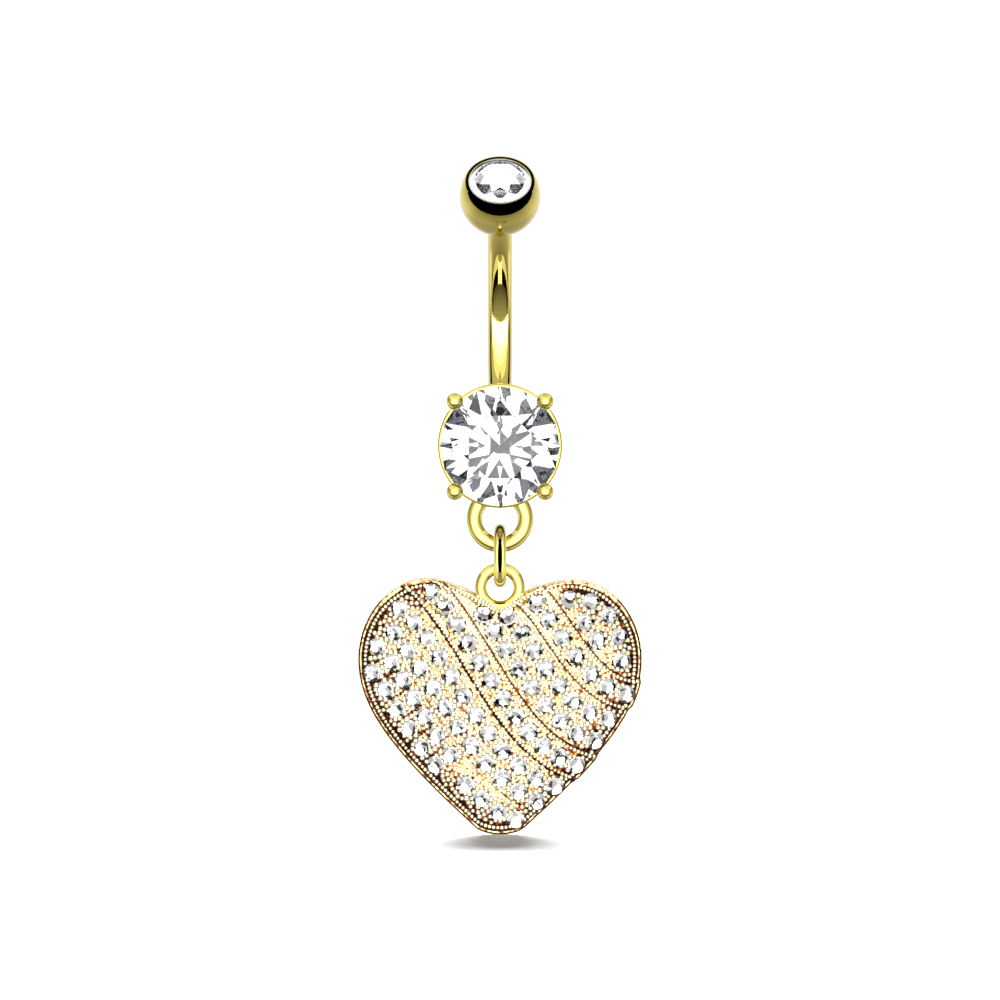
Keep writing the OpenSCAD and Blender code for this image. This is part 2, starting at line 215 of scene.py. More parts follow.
def combine(piece, other, operation):
    """Joins, cuts or crosses two closed shapes, and removes the second one."""
    add_modifier(piece, "BOOLEAN", object=other, operation=operation, solver="MANIFOLD")
    bpy.data.objects.remove(other)


def place(piece, matrix):
    """Moves a piece by a matrix and bakes the move into its mesh."""
    piece.matrix_world = matrix
    pick(piece)
    bpy.ops.object.transform_apply(location=True, rotation=True, scale=True)
    return piece


def settle(piece):
    """Bakes the place that a shape was added at into its mesh."""
    return place(piece, piece.matrix_world.copy())


print("helpers for joining and placing are ready")

# %% [markdown]
# ## Helpers for copying and finishing
# A copy gets its own mesh, so that a change to it leaves the first one alone.
# The model's nodes are loose triangles, three points each, so a copy of one
# is merged into a closed shape before it can cut anything. `smooth` shades a
# curved surface softly and keeps its real edges crisp.

# %% Copying and finishing
MERGE = 0.001 * MM


def copy_of(piece, name):
    twin = piece.copy()
    twin.data = piece.data.copy()
    twin.name = name
    bpy.context.scene.collection.objects.link(twin)
    return twin


def free_copy(node, name):
    """A copy of one of the model's nodes, its loose triangles merged."""
    twin = copy_of(frame["nodes"][node], name)
    twin.parent = None
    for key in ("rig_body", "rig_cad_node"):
        del twin[key]
    edit(twin)
    bpy.ops.mesh.remove_doubles(threshold=MERGE)
    stop_editing()
    return twin


def smooth(piece, degrees=30):
    """Shades a piece smooth, apart from its sharper edges."""
    pick(piece)
    bpy.ops.object.shade_smooth_by_angle(angle=math.radians(degrees))


def face_count(piece):
    piece.data.calc_loop_triangles()
    return len(piece.data.loop_triangles)


print("helpers for copying and finishing are ready")

# %% [markdown]
# ## The bent bar
# On the real ring this is a rod of surgical steel, bent to an arc and plated.
# A disc swept round the bend's middle gives it: `spin` is the lathe-like
# operator for that. A curve with a round section could make it too, but the
# spin gives clean rings of faces and a flat end. The post that the ball
# screws on is an inset and an extrusion of that end.

# %% Bar
bend_middle = Vector((0, -BEND_R, 0))


def on_bend(turn):
    """The place on the bar's middle line at an angle up from its middle."""
    return bend_middle + BEND_R * Vector((0, math.cos(turn), math.sin(turn)))


bar = new_shape(bpy.ops.mesh.primitive_circle_add, "bar", vertices=48, radius=BAR_R, fill_type="NGON",
                location=on_bend(-TURN_DOWN), rotation=(-TURN_DOWN, 0, 0))
settle(bar)
edit(bar)
bpy.ops.mesh.spin(steps=72, angle=TURN_DOWN + TURN_UP, center=bend_middle, axis=(-1, 0, 0))
turn_outwards()
top_end = on_bend(TURN_UP)
up_slope = Vector((0, -math.sin(TURN_UP), math.cos(TURN_UP)))
found = choose_faces(bar, lambda middle, normal: (middle - top_end).length < BAR_R / 2
                     and normal.dot(up_slope) > FLAT_ON)
bpy.ops.mesh.inset(thickness=BAR_R - POST_R)
extrude(POST_L * up_slope)
stop_editing()
print("bar:", face_count(bar), "triangles, top faces found:", found)

# %% [markdown]
# ## The basket
# The stone sits in a basket of four round prongs that rise from a plate at
# the back. A thin rim and a wire ring brace them, and a loop under the rim
# carries the heart. On the real one these are cast and soldered into one.
# Each part is shaped lying flat, with the stone's axis along Z, and the whole
# is then stood up to face the front. So heights here are depths behind the
# stone's girdle, its widest line.

# %% Basket sizes
stone_points = np.array([vertex.co for vertex in frame["nodes"]["main_stone"].data.vertices])
stone_z = (stone_low.z + stone_high.z) / 2
stone_reach = np.hypot(stone_points[:, 0], stone_points[:, 2] - stone_z)
girdle_y = stone_points[stone_reach > 0.99 * STONE_R, 1].mean()
STONE_AT = Vector((0, girdle_y, stone_z))
STONE_FRAME = Matrix.Translation(STONE_AT) @ Matrix.Rotation(math.radians(90), 4, "X")

RIM_R = STONE_R + 0.15 * MM
RIM_WALL = 0.5 * MM
RIM_H = 0.9 * MM
RIM_FRONT = -0.3 * MM
RIM_ROUND = 0.2 * MM
PLATE_R = 2.2 * MM
PLATE_T = 1.0 * MM
PLATE_ROUND = 0.12 * MM
PLATE_AT = STONE_AT.y - on_bend(-TURN_DOWN).y
PRONG_R = 0.475 * MM
PRONG_OUT = STONE_R + 0.24 * MM
KNEE_AT = -1.0 * MM
KNEE_R = 1.02 * PRONG_R
HEAD_R = 0.56 * MM
HEAD_AT = 0.46 * MM
GALLERY_WIRE = 0.3 * MM
LOOP_BACK = SWING_AT.y - STONE_AT.y
LOOP_HOLE_R = 1.15 * MM
LOOP_WIRE = 0.52 * MM
LOOP_AT = SWING_AT.z + LOOP_HOLE_R + LOOP_WIRE - STONE_AT.z
print("stone's girdle at, mm:", in_mm(STONE_AT), "plate at", in_mm([PLATE_AT]))

# %% [markdown]
# The plate is a disc that the bar is soldered to. The rim is a short tube: an
# open cylinder gets its wall from a Solidify modifier, and a Bevel rounds its
# edges. The rounding is what shows, because a rounded edge catches a line of
# light and a sharp one doesn't.

# %% Plate and rim
basket = new_shape(bpy.ops.mesh.primitive_cylinder_add, "basket", vertices=72, radius=PLATE_R,
                   depth=PLATE_T, location=(0, 0, PLATE_AT))
settle(basket)
add_modifier(basket, "BEVEL", width=PLATE_ROUND, segments=4, limit_method="ANGLE")
rim = new_shape(bpy.ops.mesh.primitive_cylinder_add, "rim", vertices=128, radius=RIM_R, depth=RIM_H,
                end_fill_type="NOTHING", location=(0, 0, RIM_FRONT - RIM_H / 2))
settle(rim)
add_modifier(rim, "SOLIDIFY", thickness=RIM_WALL, offset=-1)
add_modifier(rim, "BEVEL", width=RIM_ROUND, segments=5, limit_method="ANGLE")
combine(basket, rim, "UNION")
print("plate and rim:", face_count(basket), "triangles")

# %% [markdown]
# A prong is a round wire that leans out, turns straight at a knee, and ends
# in a ball. A disc is extruded along each straight part. The balls at its
# knee and its tip are joined on, so the bend is round and the tip is the bead
# that a setter pushes over the stone's edge.

# %% Parts of a prong
def ball_on(radius, at, name):
    return settle(new_shape(bpy.ops.mesh.primitive_uv_sphere_add, name, segments=40, ring_count=24,
                            radius=radius, location=at))


def wire_on(radius, start, end, turn, name):
    """A round wire from start to end: a disc at start, pushed along to end."""
    wire = new_shape(bpy.ops.mesh.primitive_circle_add, name, vertices=40, radius=radius,
                     fill_type="NGON", location=start, rotation=(0, turn, 0))
    settle(wire)
    edit(wire)
    extrude(end - start)
    turn_outwards()
    stop_editing()
    return wire


foot = Vector((PLATE_R - PRONG_R, 0, PLATE_AT))
knee = Vector((PRONG_OUT, 0, KNEE_AT))
head = Vector((PRONG_OUT, 0, HEAD_AT))
leg = knee - foot
lean = math.atan2(leg.x, leg.z)
print("prongs lean out by", round(math.degrees(lean), 1), "degrees")

# %% [markdown]
# One prong is modelled. Each of its four copies is turned by a quarter more
# and joined on.

# %% Prongs
prong = wire_on(PRONG_R, foot, knee, lean, "prong")
combine(prong, wire_on(PRONG_R, knee, head, 0, "upright"), "UNION")
combine(prong, ball_on(KNEE_R, knee, "knee"), "UNION")
combine(prong, ball_on(HEAD_R, head, "head"), "UNION")
for quarter in range(4):
    turned = copy_of(prong, "prong_copy")
    place(turned, Matrix.Rotation(math.radians(45 + 90 * quarter), 4, "Z"))
    combine(basket, turned, "UNION")
bpy.data.objects.remove(prong)
print("basket with prongs:", face_count(basket), "triangles")

# %% [markdown]
# The gallery wire runs through the prongs half way up their legs, and the
# loop hangs under the rim. Both are wire bent to a closed ring, which is a
# torus.

# %% Gallery wire and loop
def ring_on(radius, wire, at, name):
    return settle(new_shape(bpy.ops.mesh.primitive_torus_add, name, major_radius=radius,
                            minor_radius=wire, major_segments=96, minor_segments=28, location=at))


mid_leg = (foot + knee) / 2
combine(basket, ring_on(mid_leg.x, GALLERY_WIRE, (0, 0, mid_leg.z), "gallery"), "UNION")
combine(basket, ring_on(LOOP_HOLE_R + LOOP_WIRE, LOOP_WIRE, (0, LOOP_AT, -LOOP_BACK), "loop"), "UNION")
print("basket with loop:", face_count(basket), "triangles")

# %% [markdown]
# The stone's own shape, a hair larger, is cut out of the prongs. That is the
# notch that a setter cuts so that the stone sits down into the metal. A
# second copy of that shape is kept aside as the pattern of the small stones.

# %% Notches for the stone
seat = free_copy("main_stone", "seat")
stone_pattern = copy_of(seat, "stone_pattern")
place(stone_pattern, STONE_FRAME.inverted())
place(seat, Matrix.Scale(1 + FIT_GAP / STONE_R, 4) @ STONE_FRAME.inverted())
combine(basket, seat, "DIFFERENCE")
place(basket, STONE_FRAME)
bar.name = "bar_metal"
basket.name = "basket_metal"
for piece in (bar, basket):
    smooth(piece)
    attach(piece, "bar")
    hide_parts("barbell")
print("bar:", face_count(bar), "and basket:", face_count(basket), "triangles")

# %% [markdown]
# ## The ball, its cup and the crystal
# The ball is turned from solid metal, so it starts as a sphere. A cut across
# gives the face that the cup sits in, and one below gives the flat foot that
# screws down on the bar. Insetting and extruding each cut makes the socket
# and the threaded hole.

# %% Ball sizes
NEAR = 0.00001 * MM
BALL_R = 2.65 * MM
FACE_H = 1.38 * MM
SHOULDER = 0.06 * MM
FOOT_R = BAR_R + 0.1 * MM
FOOT_H = math.sqrt(BALL_R ** 2 - FOOT_R ** 2)
CUP_R = 2.0 * MM
CUP_DEPTH = 1.25 * MM
LIP_RISE = 0.14 * MM
GEM_R = CUP_R - 0.24 * MM
LIP_R = GEM_R - 0.07 * MM
BALL_EDGE = 0.02 * MM
CUP_EDGE = 0.03 * MM
SHARP = math.radians(40)
BALL_FRAME = Matrix.Translation(BALL_AT) @ Matrix.Rotation(BALL_TILT, 4, "X")
print("ball, mm:", in_mm([2 * BALL_R]), "and its foot", in_mm([FOOT_H]), "below its middle")

# %% Ball
def slice_ball(height, above):
    """Cuts away what is above or below a height, and closes the cut."""
    bpy.ops.mesh.select_all(action="SELECT")
    bpy.ops.mesh.bisect(plane_co=(0, 0, height), plane_no=(0, 0, 1), clear_outer=above,
                        clear_inner=not above, use_fill=True, threshold=NEAR)


def sink_socket(height, direction, ring, depth):
    """Insets the ball's flat face at that height and pushes its middle in."""
    count = choose_faces(ball, lambda middle, normal: abs(middle.z - height) < FIT_GAP / 4
                         and normal.z * direction > FLAT_ON)
    bpy.ops.mesh.inset(thickness=ring)
    extrude((0, 0, -direction * depth))
    return count


ball = new_shape(bpy.ops.mesh.primitive_uv_sphere_add, "ball_metal", segments=128, ring_count=64,
                 radius=BALL_R)
edit(ball)
slice_ball(FACE_H, above=True)
slice_ball(-FOOT_H, above=False)
turn_outwards()
choose_faces(ball, lambda middle, normal: normal.z > FLAT_ON and abs(middle.z - FACE_H) < FIT_GAP)
bpy.ops.mesh.region_to_loop()
bpy.ops.mesh.bevel(offset=SHOULDER, segments=4, affect="EDGES")
face_points = [vertex.co for vertex in bmesh.from_edit_mesh(ball.data).verts
               if abs(vertex.co.z - FACE_H) < NEAR]
face_r = max(math.hypot(point.x, point.y) for point in face_points)
found = [sink_socket(FACE_H, 1, face_r - CUP_R - FIT_GAP, CUP_DEPTH + FIT_GAP),
         sink_socket(-FOOT_H, -1, FOOT_R - POST_R - FIT_GAP, POST_L + 2 * FIT_GAP)]
stop_editing()
add_modifier(ball, "BEVEL", width=BALL_EDGE, segments=3, limit_method="ANGLE", angle_limit=SHARP)
place(ball, BALL_FRAME)
smooth(ball)
print("ball:", face_count(ball), "triangles; flat ends found:", found)
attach(ball, "ball")
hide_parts("top_ball")

# %% [markdown]
# The crystal sits in a bright white cup. Its lip is a rounded ring that is
# rolled over the crystal's edge: an inset of the cup's top that is raised,
# and pushed down again in its middle.

# %% Cup
cup = new_shape(bpy.ops.mesh.primitive_cylinder_add, "gem_cup_metal", vertices=128, radius=CUP_R,
                depth=CUP_DEPTH)
place(cup, Matrix.Translation((0, 0, FACE_H - CUP_DEPTH / 2)))
edit(cup)
choose_faces(cup, lambda middle, normal: normal.z > FLAT_ON)
bpy.ops.mesh.inset(thickness=CUP_R - LIP_R, depth=LIP_RISE)
extrude((0, 0, -LIP_RISE))
stop_editing()
add_modifier(cup, "BEVEL", width=CUP_EDGE, segments=4, limit_method="ANGLE", angle_limit=SHARP)
place(cup, BALL_FRAME)
print("cup:", face_count(cup), "triangles")

# %% [markdown]
# The crystal's own shape is cut from the cup, as the stone's was from the
# prongs. It grows about its own middle, so that the gap is the same all
# round. The crystal itself keeps the model's true facets.

# %% Crystal in its cup
CRYSTAL_GAP = 0.6 * FIT_GAP
gem_room = free_copy("top_gem", "gem_room")
crystal = copy_of(gem_room, "crystal")
gem_low, gem_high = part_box("top_gem")
gem_middle = (gem_low + gem_high) / 2
grow = Matrix.Scale(1 + CRYSTAL_GAP / GEM_R, 4)
place(gem_room, Matrix.Translation(gem_middle) @ grow @ Matrix.Translation(-gem_middle))
combine(cup, gem_room, "DIFFERENCE")
smooth(cup)
print("cup with its room for the crystal:", face_count(cup), "triangles")
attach(cup, "ball")
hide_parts("gem_cup")
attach(crystal, "ball")
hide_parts("top_gem")

# %% [markdown]
# ## The jump ring
# A jump ring is a length of wire bent round until its ends meet. The seam
# where they meet is real, so a thin ring of faces is drawn in there, at the
# back of the ring, where a jeweller turns it out of sight. Two cuts beside
# the seam hold the wire's shape, and only the points between them move.

# %% Jump ring
SEAM = 0.035 * MM
SEAM_PINCH = 0.93
link = new_shape(bpy.ops.mesh.primitive_torus_add, "jump_ring_wire", major_radius=RING_R,
                 minor_radius=RING_WIRE / 2, major_segments=120, minor_segments=36)
edit(link)
for side in (-1, 1):
    bpy.ops.mesh.select_all(action="SELECT")
    bpy.ops.mesh.bisect(plane_co=(0, side * SEAM, 0), plane_no=(0, 1, 0), threshold=NEAR)
bpy.ops.mesh.select_mode(type="VERT")
bpy.ops.mesh.select_all(action="DESELECT")
shape = bmesh.from_edit_mesh(link.data)
for vertex in shape.verts:
    vertex.select_set(abs(vertex.co.y) < SEAM / 2 and vertex.co.x > 0)
bmesh.update_edit_mesh(link.data)
bpy.ops.mesh.select_mode(type="VERT")
bpy.ops.transform.resize(value=(1, 1, SEAM_PINCH), center_override=(RING_R, 0, 0))
stop_editing()
quarter_turn = math.radians(90)
place(link, Matrix.Translation(RING_AT) @ Matrix.Rotation(quarter_turn, 4, "Z")
      @ Matrix.Rotation(quarter_turn, 4, "X"))
smooth(link, degrees=40)
print("jump ring:", face_count(link), "triangles")
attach(link, "link")
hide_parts("jump_ring")

# %% [markdown]
# ## The heart: its outline
# The heart is one casting: a domed face, two raised ribbons that cross it, a
# side that drops straight to the open back, and a wire bail at the top. Its
# outline is four Bezier arcs on the right half, mirrored to the left. Places
# on it are given in shares: across from the middle line to the widest point,
# and down from the tops of the lobes to the point.

# %% Heart sizes and outline
HEART_W = 18.5 * MM
HEART_H = 16.65 * MM
BAIL_LOW = 0.5 * MM
SIDE_H = 1.9 * MM
DOME_H = 1.9 * MM
DOME_POWER = 2.2
BAIL_R = 1.25 * MM
BAIL_WIRE = 0.39 * MM
BAIL_SUNK = 0.3 * MM
HEART_BACK = BAIL_WIRE - BAIL_SUNK - SIDE_H
HEART_AT = Vector((0, SWAY_AT.y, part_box("heart")[0].z + HEART_H - BAIL_LOW))
HEART_FRAME = Matrix.Translation(HEART_AT) @ Matrix.Rotation(math.radians(90), 4, "X")

OUTLINE_ARCS = [
    [[0, 0.115], [0.13, 0.062], [0.3, 0], [0.51, 0]],
    [[0.51, 0], [0.79, 0], [1, 0.144], [1, 0.312]],
    [[1, 0.312], [1, 0.49], [0.8, 0.655], [0.173, 0.973]],
    [[0.173, 0.973], [0.145, 0.987], [0.07, 1], [0, 1]],
]
ARC_STEPS = [14, 18, 30, 8]


def heart_point(share):
    return np.array([share[0] * HEART_W / 2, BAIL_LOW - share[1] * HEART_H])


def bezier(p, t):
    p = np.array(p)
    return ((1 - t) ** 3 * p[0] + 3 * t * (1 - t) ** 2 * p[1]
            + 3 * t * t * (1 - t) * p[2] + t ** 3 * p[3])


right_half = [heart_point(bezier(arc, step / steps))
              for arc, steps in zip(OUTLINE_ARCS, ARC_STEPS) for step in range(steps)]
right_half.append(heart_point([0, 1]))
outline = np.array(right_half + [point * (-1, 1) for point in right_half[-2:0:-1]])
print("outline:", len(outline), "points; bail at, mm:", in_mm(HEART_AT))

# %% [markdown]
# ## The heart: its dome
# The face is a dome. Near its middle the contours are round, and towards the
# edge they take the heart's outline. A sculpted heart would get the same form
# from a few pulls of a brush, but a formula gives it exactly, the same as in
# the model.

# %% Dome
HEART_MIDDLE = heart_point([0, 0.42])
CORE_R = 0.43 * HEART_W


def lengths(vectors):
    return np.hypot(vectors[:, 0], vectors[:, 1])


def dome_height(points):
    away = points - HEART_MIDDLE
    distance = lengths(away)
    around = outline - HEART_MIDDLE
    angles = np.arctan2(around[:, 1], around[:, 0])
    reach = np.interp(np.arctan2(away[:, 1], away[:, 0]), angles, lengths(around), period=2 * math.pi)
    blend = np.minimum(distance / reach, 1) ** 2
    contour = distance / ((1 - blend) * CORE_R + blend * reach)
    return SIDE_H + DOME_H * (1 - np.minimum(contour, 1) ** DOME_POWER)


just_beside = HEART_MIDDLE[None] + 1e-9
print("dome at its middle, mm high:", in_mm(dome_height(just_beside)))

# %% [markdown]
# The ribbons and the rows of stones are lines on the face. What is raised or
# cut beside such a line depends on how far a place is from it, and on which
# side. `fade` then turns that distance into a soft step, as the edge of a
# cast form is.

# %% Distance from a line
def line_side(points, line):
    """Each point's distance from a line, above zero on the left of its way."""
    step = np.diff(line, axis=0)
    away = points[:, None] - line[None, :-1]
    share = np.clip((away * step).sum(2) / (step ** 2).sum(1), 0, 1)
    gap = away - share[..., None] * step
    length = np.hypot(gap[..., 0], gap[..., 1])
    best = length.argmin(1)
    each = np.arange(len(points))
    turn = step[best, 0] * gap[each, best, 1] - step[best, 1] * gap[each, best, 0]
    return np.where(turn < 0, -1, 1) * length[each, best]


def fade(value, start, end):
    """Goes smoothly from 0 at start to 1 at end."""
    share = np.clip((value - start) / (end - start), 0, 1)
    return share * share * (3 - 2 * share)


def moved_out(line, distance):
    """The line with each point moved away from the heart's middle."""
    away = line - HEART_MIDDLE
    return line + distance * away / lengths(away)[:, None]


def closed(line):
    return np.vstack([line, line[:1]])


print("half way through a fade:", fade(0.5, 0, 1))

# %% [markdown]
# ## The heart: its ribbons and its field
# The two ribbons stand 0.3 mm above the dome, and the field beside the long
# one a little. Each is given by four points that its middle line passes
# through. Where a ribbon crosses the heart's edge, the edge bulges out by a
# tenth of a millimetre, as if the ribbon were wrapped round it. `through`
# and `row_line` make the lines, and `moved_out` makes the bulge.

# %% Ribbons and field
RIBBON_W = 1.95 * MM
RIBBON_HALF = RIBBON_W / 2
RIBBON_RISE = 0.3 * MM
RIBBON_OUT = 0.12 * MM
BULGE_START = RIBBON_HALF + 0.05 * MM
BULGE_FULL = RIBBON_HALF - 0.15 * MM
FIELD_RISE = 0.12 * MM
FIELD_MARGIN = 0.8 * MM
LONG_RIBBON = [[-0.483, 0.045], [-0.17, 0.288], [0.142, 0.546], [0.538, 0.722]]
SHORT_RIBBON = [[0.262, 0.086], [0.441, 0.222], [0.64, 0.362], [0.884, 0.444]]
FIELD_EDGE = [[-0.746, 0.207], [-0.445, 0.441], [-0.132, 0.686], [0.258, 0.865]]


def through(p, t):
    """The curve that passes its four points at 0, 1/3, 2/3 and 1."""
    a, b = t - 1 / 3, t - 2 / 3
    p = np.array(p)
    return (-4.5 * a * b * (t - 1) * p[0] + 13.5 * t * b * (t - 1) * p[1]
            - 13.5 * t * a * (t - 1) * p[2] + 4.5 * t * a * b * p[3])


def row_line(row, aside=0.0, past=0.14, steps=60):
    """A row's line, run on past both its ends, and moved aside to its left."""
    line = np.array([heart_point(through(row, t)) for t in np.linspace(-past, 1 + past, steps)])
    ahead = np.gradient(line, axis=0)
    ahead /= lengths(ahead)[:, None]
    return line + aside * np.stack([-ahead[:, 1], ahead[:, 0]], axis=1)


long_line, short_line, field_line = row_line(LONG_RIBBON), row_line(SHORT_RIBBON), row_line(FIELD_EDGE)
off_ribbons = np.minimum(np.abs(line_side(outline, long_line)), np.abs(line_side(outline, short_line)))
bulge = RIBBON_OUT * fade(off_ribbons, BULGE_START, BULGE_FULL)
edge_line = moved_out(outline, bulge[:, None])
print("outline bulges, mm:", in_mm([bulge.max()]), "where a ribbon crosses it")

# %% [markdown]
# ## The small stones' places
# The model holds 83 small stones as loose solids in one node. Each is
# measured: its flattest direction is its axis, and the widest corners give
# its girdle. The same places serve the stones, their seats and the beads.

# %% Measure the small stones
SMALL_R = 0.55 * MM
GIRDLE_MIN = 0.8 * SMALL_R


def loose_parts(node):
    """The corners of each separate solid in a node, from the lowest up."""
    shape = bmesh.new()
    shape.from_mesh(node.data)
    bmesh.ops.remove_doubles(shape, verts=shape.verts, dist=MERGE)
    left = set(shape.verts)
    parts = []
    while left:
        reached = [left.pop()]
        for vertex in reached:
            for edge in vertex.link_edges:
                other = edge.other_vert(vertex)
                if other in left:
                    left.discard(other)
                    reached.append(other)
        parts.append(np.array([vertex.co for vertex in reached]))
    shape.free()
    return sorted(parts, key=lambda part: (round(part[:, 2].mean(), 6), round(part[:, 0].mean(), 6)))


def stone_frame(corners):
    """Where a stone's girdle is, and which way its table faces."""
    middle = corners.mean(0)
    axis = np.linalg.eigh(np.cov((corners - middle).T))[1][:, 0]
    axis *= -np.sign(axis[1])
    away = corners - middle - ((corners - middle) @ axis)[:, None] * axis
    girdle = corners[np.linalg.norm(away, axis=1) > GIRDLE_MIN]
    turn = Vector((0, 0, 1)).rotation_difference(Vector(axis)).to_matrix().to_4x4()
    return Matrix.Translation(Vector(girdle.mean(0))) @ turn


# The measured frames are turned into places on the lying heart.
small_frames = [stone_frame(part) for part in loose_parts(frame["nodes"]["pave_stones"])]
to_heart = HEART_FRAME.inverted()
seats = np.array([(to_heart @ each).translation for each in small_frames])[:, :2]
print("small stones:", len(small_frames))

# %% [markdown]
# ## The heart: drilled holes
# Short rows of fine drilled holes run between the outer stones at the left.
# Each row begins outside the outer row of stones, passes half way between two
# of them, and ends just past the nearest gap of the inner row.

# %% Drilled holes
HOLE_PITCH = 0.24 * MM
LEFT_INNER = [[-0.866, 0.261], [-0.683, 0.386], [-0.53, 0.53], [-0.349, 0.678]]
LEFT_OUTER = [[-0.897, 0.361], [-0.752, 0.476], [-0.609, 0.604], [-0.452, 0.721]]
INNER_STONES, OUTER_STONES = 7, 6
HOLES_BEFORE, HOLES_PAST = 0.45, 0.2


def spaced(line, pitch):
    """Points along a line at an even pitch."""
    run = np.concatenate([[0], np.cumsum(np.hypot(*np.diff(line, axis=0).T))])
    marks = np.arange(pitch / 2, run[-1], pitch)
    return np.stack([np.interp(marks, run, line[:, k]) for k in (0, 1)], axis=1)


def halfway_points(row, count):
    return [heart_point(through(row, (i + 0.5) / (count - 1))) for i in range(count - 1)]


hole_rows = []
for start in halfway_points(LEFT_OUTER, OUTER_STONES):
    end = min(halfway_points(LEFT_INNER, INNER_STONES), key=lambda point: np.hypot(*(point - start)))
    way = end - start
    hole_rows.append(spaced(np.array([start - HOLES_BEFORE * way, end + HOLES_PAST * way]), HOLE_PITCH))
holes = np.vstack(hole_rows)
print("drilled holes:", len(holes))

# %% [markdown]
# ## The heart: its face
# Cut into the face are a round seat under each stone, a groove beside each
# ribbon, a groove inside the rim, and the holes. `trench` is 1 on a cut's
# floor and 0 outside it. Each kind of cut has its depth, and how dark it is
# painted, which stands for the shade that falls into it.

# %% Cuts in the face
SEAT_R = 0.63 * MM
FIELD_GROOVE_AT, FIELD_GROOVE = 0.05 * MM, (0.05 * MM, 0.12 * MM)
RIBBON_GROOVE_AT, RIBBON_GROOVE = 0.04 * MM, (0.02 * MM, 0.09 * MM)
RIM_GROOVE_AT, RIM_GROOVE = 0.32 * MM, (0.02 * MM, 0.07 * MM)
HOLE = (0.05 * MM, 0.12 * MM)
SEAT_EDGE = (SEAT_R, SEAT_R + 0.07 * MM)
CUT_DEPTHS = {"field groove": 0.14 * MM, "ribbon grooves": 0.09 * MM, "rim groove": 0.1 * MM,
              "holes": 0.2 * MM, "seat edges": 0}
# How dark the painted shade in each kind of cut is.
CUT_DARKNESS = {"field groove": 1, "ribbon grooves": 0.75, "rim groove": 0.7,
                "holes": 1, "seat edges": 0.75}


def trench(distance, bounds):
    """1 as far as the first bound, fading to 0 at the second."""
    return 1 - fade(distance, *bounds)


def nearest(points, places, rank=0):
    """Each point's distance from the nearest place, or from the next by rank."""
    away = np.hypot(points[:, None, 0] - places[None, :, 0], points[:, None, 1] - places[None, :, 1])
    return np.sort(away, axis=1)[:, rank]


def cuts_at(points, edge, long_off, short_off):
    """How deep in each kind of cut each point is, from 0 to 1."""
    to_stone = nearest(points, seats)
    beside = RIBBON_HALF + RIBBON_GROOVE_AT
    return {
        "field groove": trench(np.abs(long_off + RIBBON_HALF + FIELD_GROOVE_AT), FIELD_GROOVE),
        "ribbon grooves": np.maximum.reduce([
            trench(np.abs(off - side * beside), RIBBON_GROOVE)
            for off, side in ((long_off, 1), (short_off, 1), (short_off, -1))]),
        "rim groove": trench(np.abs(edge - RIM_GROOVE_AT), RIM_GROOVE),
        "holes": trench(nearest(points, holes), HOLE) * (to_stone > SEAT_R),
        "seat edges": trench(to_stone, SEAT_EDGE),
    }


print("kinds of cut:", ", ".join(CUT_DEPTHS))

# %% [markdown]
# The face's height is the dome, plus what is raised, less what is cut, and it
# rounds down at the edge. The open metal gets a little painted shade too: more
# away from the cleft, and most along the rim. That and the cuts together are
# `crevice`, how much painted shade a point gets, from 0 on bright metal to 1
# deep in a groove.

# %% Height and crevices
FIELD_START, FIELD_FULL = -FIELD_MARGIN, -FIELD_MARGIN + 0.12 * MM
RIBBON_START, RIBBON_FULL = RIBBON_HALF + 0.03 * MM, RIBBON_HALF - 0.12 * MM
SEAT_DEPTH = 0.06 * MM
SEAT_SLOPE = 0.98
EDGE_ROUND = 0.18 * MM
CLEFT_Y = -0.5 * MM
CLEFT_SHADE_FROM, CLEFT_SHADE_TO = 2.5 * MM, 5.5 * MM
RIM_SHADE_FROM, RIM_SHADE_TO = 0.6 * MM, 2.4 * MM
OPEN_METAL_SHADE, FAR_SHADE_MORE, RIM_SHADE_MORE = 0.28, 0.1, 0.4
RIM_BARE = 0.02 * MM


def face_parts(points):
    """The face's height, its crevices, and how far inside the edge each point is."""
    edge = -line_side(points, closed(edge_line))
    long_off = line_side(points, long_line)
    short_off = line_side(points, short_line)
    on_field = (long_off < 0) * fade(line_side(points, field_line), FIELD_START, FIELD_FULL)
    on_ribbon = fade(np.minimum(np.abs(long_off), np.abs(short_off)), RIBBON_START, RIBBON_FULL)
    height = dome_height(points) + np.maximum(RIBBON_RISE * on_ribbon, FIELD_RISE * on_field)

    cuts = cuts_at(points, edge, long_off, short_off)
    for kind, depth in CUT_DEPTHS.items():
        height = height - depth * cuts[kind]
    to_stone = nearest(points, seats)
    height = height - (to_stone < SEAT_R) * (SEAT_DEPTH + SEAT_SLOPE * np.maximum(SEAT_R - to_stone, 0))
    rounding = np.clip(1 - edge / EDGE_ROUND, 0, 1)
    height = height - EDGE_ROUND * (1 - np.sqrt(1 - rounding ** 2))

    # Painted shade on the open metal: a little everywhere, more away from the cleft, most along the rim.
    far_from_cleft = fade(np.hypot(points[:, 0], points[:, 1] - CLEFT_Y), CLEFT_SHADE_FROM, CLEFT_SHADE_TO)
    by_rim = (1 - fade(edge, RIM_SHADE_FROM, RIM_SHADE_TO)) * (edge > RIM_GROOVE_AT)
    open_metal_shade = OPEN_METAL_SHADE + FAR_SHADE_MORE * far_from_cleft + RIM_SHADE_MORE * far_from_cleft * by_rim
    crevice = np.maximum.reduce([CUT_DARKNESS[kind] * cut for kind, cut in cuts.items()] + [open_metal_shade])
    return height, crevice * (edge > RIM_BARE), edge


print("height of the face under the first stones, mm:", in_mm(face_parts(seats[:5])[0]))

